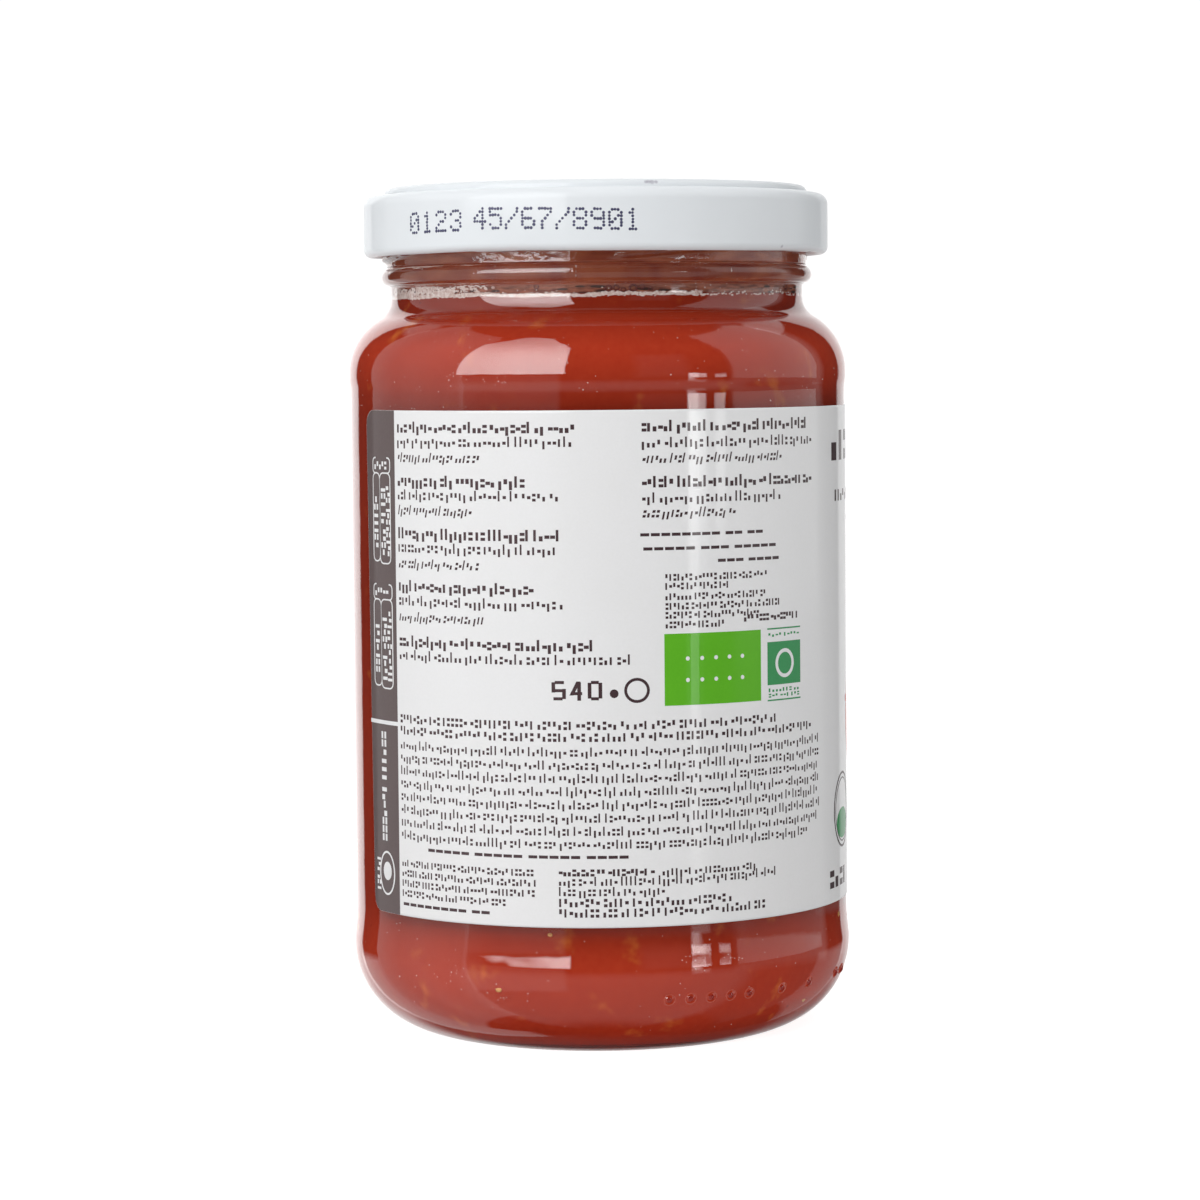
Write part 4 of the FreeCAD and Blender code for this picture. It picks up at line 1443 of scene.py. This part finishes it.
def strip_slab():
    """The dark strip: columns from the sheet's first edge, a hair inside its outline."""
    near = corner * (1 - np.cos(np.linspace(0, np.pi / 2, 9)))
    along = np.concatenate([edge_low + 0.03 + near, np.linspace(edge_low + corner + 0.5, strip_right, 8)])
    low, high = sheet_columns(along, 0.02)
    share = np.linspace(0, 1, 9)
    heights = low[:, None] + (high - low)[:, None] * share
    heights = np.concatenate([heights, heights[:, ::-1]], axis=1)
    radii = np.repeat([label_radius + INK / 2, label_radius - INK], len(share))
    directions = label_start + np.degrees(lean(along[:, None], heights) / label_radius)
    grid = turned(radii[None, :], heights, directions)
    return grid.reshape(-1, 3), capped(grid)


INKS["strip"] = [strip_slab()]
for left, bottom, split, right, top in ((4.9, 67.3, 7.0, 9.9, 82.1), (4.7, 50.0, 7.0, 10.1, 64.6)):
    head = top - 2.3
    ink("white", frame_quads(left, head, right, top, 0.2))
    ink("white", frame_quads(left, bottom + 0.3, split + 0.1, head + 0.2, 0.2, 0.9))
    ink("white", frame_quads(split - 0.1, bottom, right, head + 0.2, 0.2, 0.9))
    ink("white", print_row("upright small", left + 0.6, left + 4.5, head + 1.15))
    length = head - bottom
    middle = (head + bottom) / 2
    rows = ((5.85, "upright", 0.62), (7.95, "upright", 0.78), (9.25, "upright small", 0.8))
    for across, kind, share in rows:
        row = print_row(kind, -length * share / 2, length * share / 2, 0.0)
        ink("white", quarter_turned(row, across, middle - 0.1))
ink("white", quarter_turned(print_row("upright wide", -7.7, 7.7, 0.0), 7.3, 36.5))
ink("white", [rectangle(3.3, 45.05, strip_right + 0.1, 45.6)], 12)
ink("white", ring_quads(7.8, 24.3, 2.1, 3.1, 0.28))
ring_row = quarter_turned(print_row("upright small", -2.6, 2.6, 0.0), 5.4, 24.4)
ink("white", oval_quads(7.9, 24.6, 1.1, 1.3) + ring_row)

ink("green", [rectangle(52.0, 48.7, 66.9, 58.4)], 24)
for number in range(10):
    x, y = 55.3 + 2.1 * (number % 5), 55.0 - 2.9 * (number // 5)
    ink("white", oval_quads(x, y, 0.3, 0.3, 4))
ink("dark_green", [rectangle(68.1, 50.7, 74.9, 56.6)], 10)
ink("dark_green", [rectangle(68.1, 58.3, 74.9, 58.5), rectangle(68.1, 48.5, 74.9, 48.7)], 10)
ink("dark_green", print_row("minute", 68.3, 74.8, 57.55) + print_row("minute", 68.3, 74.8, 50.0))
ink("dark_green", print_row("minute", 68.3, 74.8, 49.25))
ink("white", ring_quads(71.5, 53.6, 1.9, 2.0, 0.5))

front = 118.0  # middle of the front panel, along the sheet
ink("brown", print_row("title", 84.6, 84.6 + 66.0, 83.0), 6)
ink("brown", print_row("subtitle", 86.0, 149.0, 76.0), 2)
ink("brown", print_row("subtitle", 96.0, 139.0, 72.6), 2)
ink("brown", ring_quads(89.6, 31.5, 4.6, 5.4, 0.35) + ring_quads(89.6, 31.5, 3.9, 4.6, 0.2))
ink("dark_green", oval_quads(89.6, 29.6, 3.3, 2.2, 10))
ink("brown", print_row("large", 83.3, 92.3, 22.1), 3)
ink("red", oval_quads(92.9, 47.0, 0.5, 0.6, 6))
ink("red", oval_quads(front, 50.0, 13.0, 11.5, 24) + oval_quads(front - 17.0, 44.0, 8.0, 7.2, 18)
    + oval_quads(front + 18.0, 43.5, 8.5, 7.6, 18))
for turn in np.radians(np.arange(90, 450, 72)):
    tip = np.array([front + 6.4 * math.cos(turn), 61.0 + 3.4 * math.sin(turn)])
    side = np.array([-math.sin(turn), math.cos(turn)]) * 1.1
    root = np.array([front, 60.6])
    bend = (root + tip) / 2
    ink("green", [[tuple(root), tuple(bend - side), tuple(tip), tuple(bend + side)]], 6)
ink("brown", print_row("large", front - 6.0, front + 6.0, 24.0), 3)
ink("brown", print_row("plain", 160.0, 190.0, 84.0))
for height in np.arange(80.0, 58.0, -2.2):
    ink("brown", print_row("small", 160.0, float(rng.uniform(182.0, 194.0)), float(height)))
ink("green", [rectangle(160.0, 36.0, 176.0, 50.0)], 24)
for number, bar in enumerate(np.cumsum(rng.uniform(0.35, 0.9, 26)) + 178.0):
    if number % 2 == 0 and bar < 193.0:
        ink("brown", [rectangle(float(bar), 30.0, float(bar) + float(rng.uniform(0.2, 0.55)), 46.0)])

# %% Inks as pieces
INK_COLOURS = {
    "brown": ((0.040, 0.021, 0.025), (0.060, 0.034, 0.038)),
    "strip": ((0.092, 0.066, 0.066), (0.118, 0.088, 0.086)),
    "white": ((0.78, 0.78, 0.78), (0.84, 0.84, 0.85)),
    "green": ((0.10, 0.42, 0.012), (0.12, 0.47, 0.016)),
    "dark_green": ((0.035, 0.26, 0.085), (0.05, 0.31, 0.11)),
    "red": ((0.50, 0.05, 0.03), (0.60, 0.075, 0.045)),
}
LIFT = {"white": 0.006}  # white lies on top of the other inks
for name, parts in INKS.items():
    points, faces = merged(parts)
    away = 1 + LIFT.get(name, 0.0) / label_radius
    points = points * np.array([away, away, 1.0])
    first, second = INK_COLOURS[name]
    finish = paper_material("print_" + name, first, second)
    make_piece("print_" + name, make_mesh("print_" + name, points, faces, smooth=False, merge=False),
               finish, "label_paper")

# %% [markdown]
# ## Camera and studio
# The camera stands at the height of the shoulder and looks a little down, through a long lens.
# Round the jar stands a product table: a bright backdrop behind, a white panel on each
# side, a softbox high on the left and two narrow gaps of light on the right. Gloss and glass see
# that studio through the world's direction. Paper and pulp are lit by plain area lamps.

# %% Camera
camera_data = bpy.data.cameras.new("camera")
camera_data.lens = 112.9
camera = bpy.data.objects.new("camera", camera_data)
scene.collection.objects.link(camera)
camera.location = (0.0, -0.53866, 0.0965)
pitch, roll, yaw = math.radians(3.792), math.radians(0.512), math.radians(-0.015)
look = Euler((math.pi / 2 - pitch, 0.0, yaw)).to_matrix() @ Matrix.Rotation(-roll, 3, "Z")
camera.rotation_euler = look.to_euler()
camera_data.clip_start = 0.01
scene.camera = camera

# %% Studio seen in reflections
# Each card: azimuth from and to, elevation from and to, brightness, how soft its edge is, and how
# far its corners are cut off, all but the brightness in degrees.
CARDS = (
    (-66.5, -14.5, 1.45, 61.0, 9.6, 1.0, 16.0),
    (-127.0, -64.0, -60.0, 57.0, 0.7, 1.5, 4.0),
    (-100.0, -62.0, -60.0, 50.0, 0.25, 14.0, 0.0),
    (-142.0, -126.0, 34.0, 47.0, 0.7, 3.0, 4.0),
    (-150.0, -127.0, -70.0, -11.0, 0.95, 3.0, 0.0),
    (-66.0, -17.0, -30.0, 0.5, 0.5, 2.5, 0.0),
    (41.8, 46.8, -2.6, 1.0, 10.5, 1.2, 0.0),
    (46.8, 50.5, -2.6, 0.8, 6.0, 1.2, 0.0),
    (55.5, 60.5, -2.6, 0.4, 4.8, 1.2, 0.0),
    (41.8, 46.0, -7.5, -2.6, 4.0, 1.4, 0.0),
    (41.8, 50.5, -12.0, -7.2, 1.3, 1.6, 0.0),
    (64.5, 121.5, -4.0, 57.0, 0.75, 1.2, 4.0),
    (64.5, 126.5, -12.0, 57.0, 0.4, 6.0, 4.0),
    (64.5, 119.5, -60.0, -12.0, 0.12, 4.0, 4.0),
    (119.0, 150.0, 36.0, 50.0, 1.1, 1.5, 4.0),
    (119.5, 150.0, -40.0, -9.0, 0.45, 3.0, 0.0),
    (18.0, 42.0, -2.0, 30.0, 0.22, 6.0, 0.0),
)
BACKDROP_EDGE = (145.5, 148.5)  # azimuths, either side, between which it begins
BACKDROP_LEFT, BACKDROP_RIGHT = 1.7, 1.15
ROOM = 0.03
TABLE = 0.62  # brightness of the table in front, well below the horizon
AMBIENT = 0.38  # even light on whatever isn't gloss or glass
CAMERA_WHITE = 1.05  # what the camera sees behind the jar


def card_group():
    """Share: 1 inside a rectangle of azimuth and elevation, with soft edges, 0 outside."""
    names = ("Azimuth", "Elevation", "From", "To", "Low", "High", "Soft", "Cut")
    group, start, end = new_group("card", {name: 1.0 for name in names}, {"Share": "Float"})
    depths = []
    for value, low, high in (("Azimuth", "From", "To"), ("Elevation", "Low", "High")):
        above = math_node(group, "SUBTRACT", start.outputs[value], start.outputs[low])
        below = math_node(group, "SUBTRACT", start.outputs[high], start.outputs[value])
        depths.append(math_node(group, "MINIMUM", above, below))
    inside = math_node(group, "MINIMUM", *depths)
    top = math_node(group, "SUBTRACT", start.outputs["High"], start.outputs["Elevation"])
    chamfer = math_node(group, "SUBTRACT", math_node(group, "ADD", depths[0], top), start.outputs["Cut"])
    inside = math_node(group, "MINIMUM", inside, chamfer)
    soft = math_node(group, "DIVIDE", inside, start.outputs["Soft"])
    group.links.new(math_node(group, "ADD", soft, 0.5, clamp=True), end.inputs["Share"])
    return group


def build_world():
    """White to the camera, the studio to gloss and glass, and an even light to everything else."""
    world = bpy.data.worlds.new("studio")
    world.use_nodes = True
    tree = world.node_tree
    tree.nodes.clear()
    direction = add(tree, "ShaderNodeTexCoord").outputs["Generated"]
    parts = add(tree, "ShaderNodeSeparateXYZ", {"Vector": direction}).outputs
    ahead = math_node(tree, "MULTIPLY", parts["Y"], -1.0)
    degrees = math.degrees(1.0)
    azimuth = math_node(tree, "MULTIPLY", math_node(tree, "ARCTAN2", parts["X"], ahead), degrees)
    elevation = math_node(tree, "MULTIPLY", math_node(tree, "ARCSINE", parts["Z"]), degrees)
    card = card_group()
    away = math_node(tree, "ABSOLUTE", azimuth)
    side = ramp(tree, parts["X"], -0.3, 0.3)
    bright = add(tree, "ShaderNodeMix", {0: side, 2: BACKDROP_LEFT, 3: BACKDROP_RIGHT}).outputs[0]
    beyond = math_node(tree, "SUBTRACT", away, math_node(tree, "MULTIPLY", side, 1.5))
    behind = math_node(tree, "MULTIPLY", ramp(tree, beyond, *BACKDROP_EDGE), bright)
    drop = math_node(tree, "ADD", math_node(tree, "MULTIPLY", side, 0.35), 0.4)
    sunk = math_node(tree, "MULTIPLY", ramp(tree, elevation, -4.0, -26.0), drop)
    lowered = math_node(tree, "SUBTRACT", 1.0, sunk)
    under = math_node(tree, "MULTIPLY", ramp(tree, elevation, -28.0, -42.0), 0.85)
    lowered = math_node(tree, "MULTIPLY", lowered, math_node(tree, "SUBTRACT", 1.0, under))
    total = math_node(tree, "ADD", math_node(tree, "MULTIPLY", behind, lowered), ROOM)
    table = math_node(tree, "MULTIPLY", ramp(tree, elevation, -3.0, -16.0), TABLE)
    front = math_node(tree, "SUBTRACT", 1.0, ramp(tree, away, 60.0, 80.0))
    total = math_node(tree, "ADD", total, math_node(tree, "MULTIPLY", table, front))
    # The softbox is brightest low on its right and fades towards its far upper corner.
    fade = math_node(tree, "MULTIPLY", ramp(tree, elevation, 62.0, 24.0), 0.6)
    turn = math_node(tree, "MULTIPLY", ramp(tree, azimuth, -70.0, -34.0), 0.22)
    softbox = math_node(tree, "ADD", math_node(tree, "ADD", fade, turn), 0.18)
    for number, (left, right, low, high, bright, soft, cut) in enumerate(CARDS):
        share = use_group(
            tree,
            card,
            {"Azimuth": azimuth, "Elevation": elevation, "From": left, "To": right, "Low": low, "High": high,
             "Soft": soft, "Cut": cut},
        ).outputs["Share"]
        if number == 0:
            share = math_node(tree, "MULTIPLY", share, softbox)
        total = math_node(tree, "ADD", total, math_node(tree, "MULTIPLY", share, bright))
    foot = ramp(tree, elevation, -88.0, -64.0)  # the jar hides the light on the table right under it
    total = math_node(tree, "MULTIPLY", total, foot)
    path = add(tree, "ShaderNodeLightPath").outputs
    seen = math_node(tree, "MAXIMUM", path["Is Glossy Ray"], path["Is Transmission Ray"])
    studio = add(tree, "ShaderNodeMix", {0: seen, 2: AMBIENT, 3: total}).outputs[0]
    strength = add(tree, "ShaderNodeMix", {0: path["Is Camera Ray"], 2: studio, 3: CAMERA_WHITE}).outputs[0]
    light = add(tree, "ShaderNodeBackground", {"Color": (1, 1, 1, 1), "Strength": strength})
    output = add(tree, "ShaderNodeOutputWorld")
    tree.links.new(light.outputs[0], output.inputs["Surface"])
    scene.world = world


build_world()
print("cards in the studio:", len(CARDS))

# %% Lamps and floor
def lamp(name, azimuth, elevation, distance, width, height, power):
    """A soft area lamp on a sphere round the jar, turned to its middle, that gloss doesn't see."""
    data = bpy.data.lights.new(name, "AREA")
    data.shape = "RECTANGLE"
    data.size = width
    data.size_y = height
    data.energy = power
    lamp_object = bpy.data.objects.new(name, data)
    scene.collection.objects.link(lamp_object)
    a, e = math.radians(azimuth), math.radians(elevation)
    towards = Vector((math.sin(a) * math.cos(e), -math.cos(a) * math.cos(e), math.sin(e)))
    lamp_object.location = Vector((0, 0, 0.06)) + towards * distance
    lamp_object.rotation_euler = towards.to_track_quat("Z", "Y").to_euler()
    lamp_object.visible_camera = False
    lamp_object.visible_glossy = False
    lamp_object.visible_transmission = False


lamp("key", -37, 34, 1.1, 0.9, 0.9, 7.2)
lamp("right_fill", 80, 20, 1.1, 0.6, 0.9, 1.6)
lamp("top", 0, 82, 1.2, 0.8, 0.8, 2.6)

floor_mesh = bpy.data.meshes.new("floor")
floor_mesh.from_pydata([(-4, -4, 0), (4, -4, 0), (4, 4, 0), (-4, 4, 0)], [], [(0, 1, 2, 3)])
floor = bpy.data.objects.new("floor", floor_mesh)
scene.collection.objects.link(floor)
floor_white, tree, output = new_material("floor_white")
board = add(tree, "ShaderNodeBsdfDiffuse", {"Color": (0.82, 0.82, 0.82, 1)})
lift = add(
    tree,
    "ShaderNodeEmission",
    {"Strength": math_node(tree, "MULTIPLY", add(tree, "ShaderNodeLightPath").outputs["Is Camera Ray"], 0.8)},
)
both = add(tree, "ShaderNodeAddShader")
tree.links.new(board.outputs[0], both.inputs[0])
tree.links.new(lift.outputs[0], both.inputs[1])
tree.links.new(both.outputs[0], output.inputs["Surface"])
floor_mesh.materials.append(floor_white)
floor.visible_glossy = False
floor.visible_transmission = False

scene.view_settings.view_transform = "Standard"
scene.cycles.caustics_reflective = False
scene.cycles.caustics_refractive = False
scene.cycles.max_bounces = 12
scene.cycles.transmission_bounces = 10
scene.cycles.transparent_max_bounces = 12
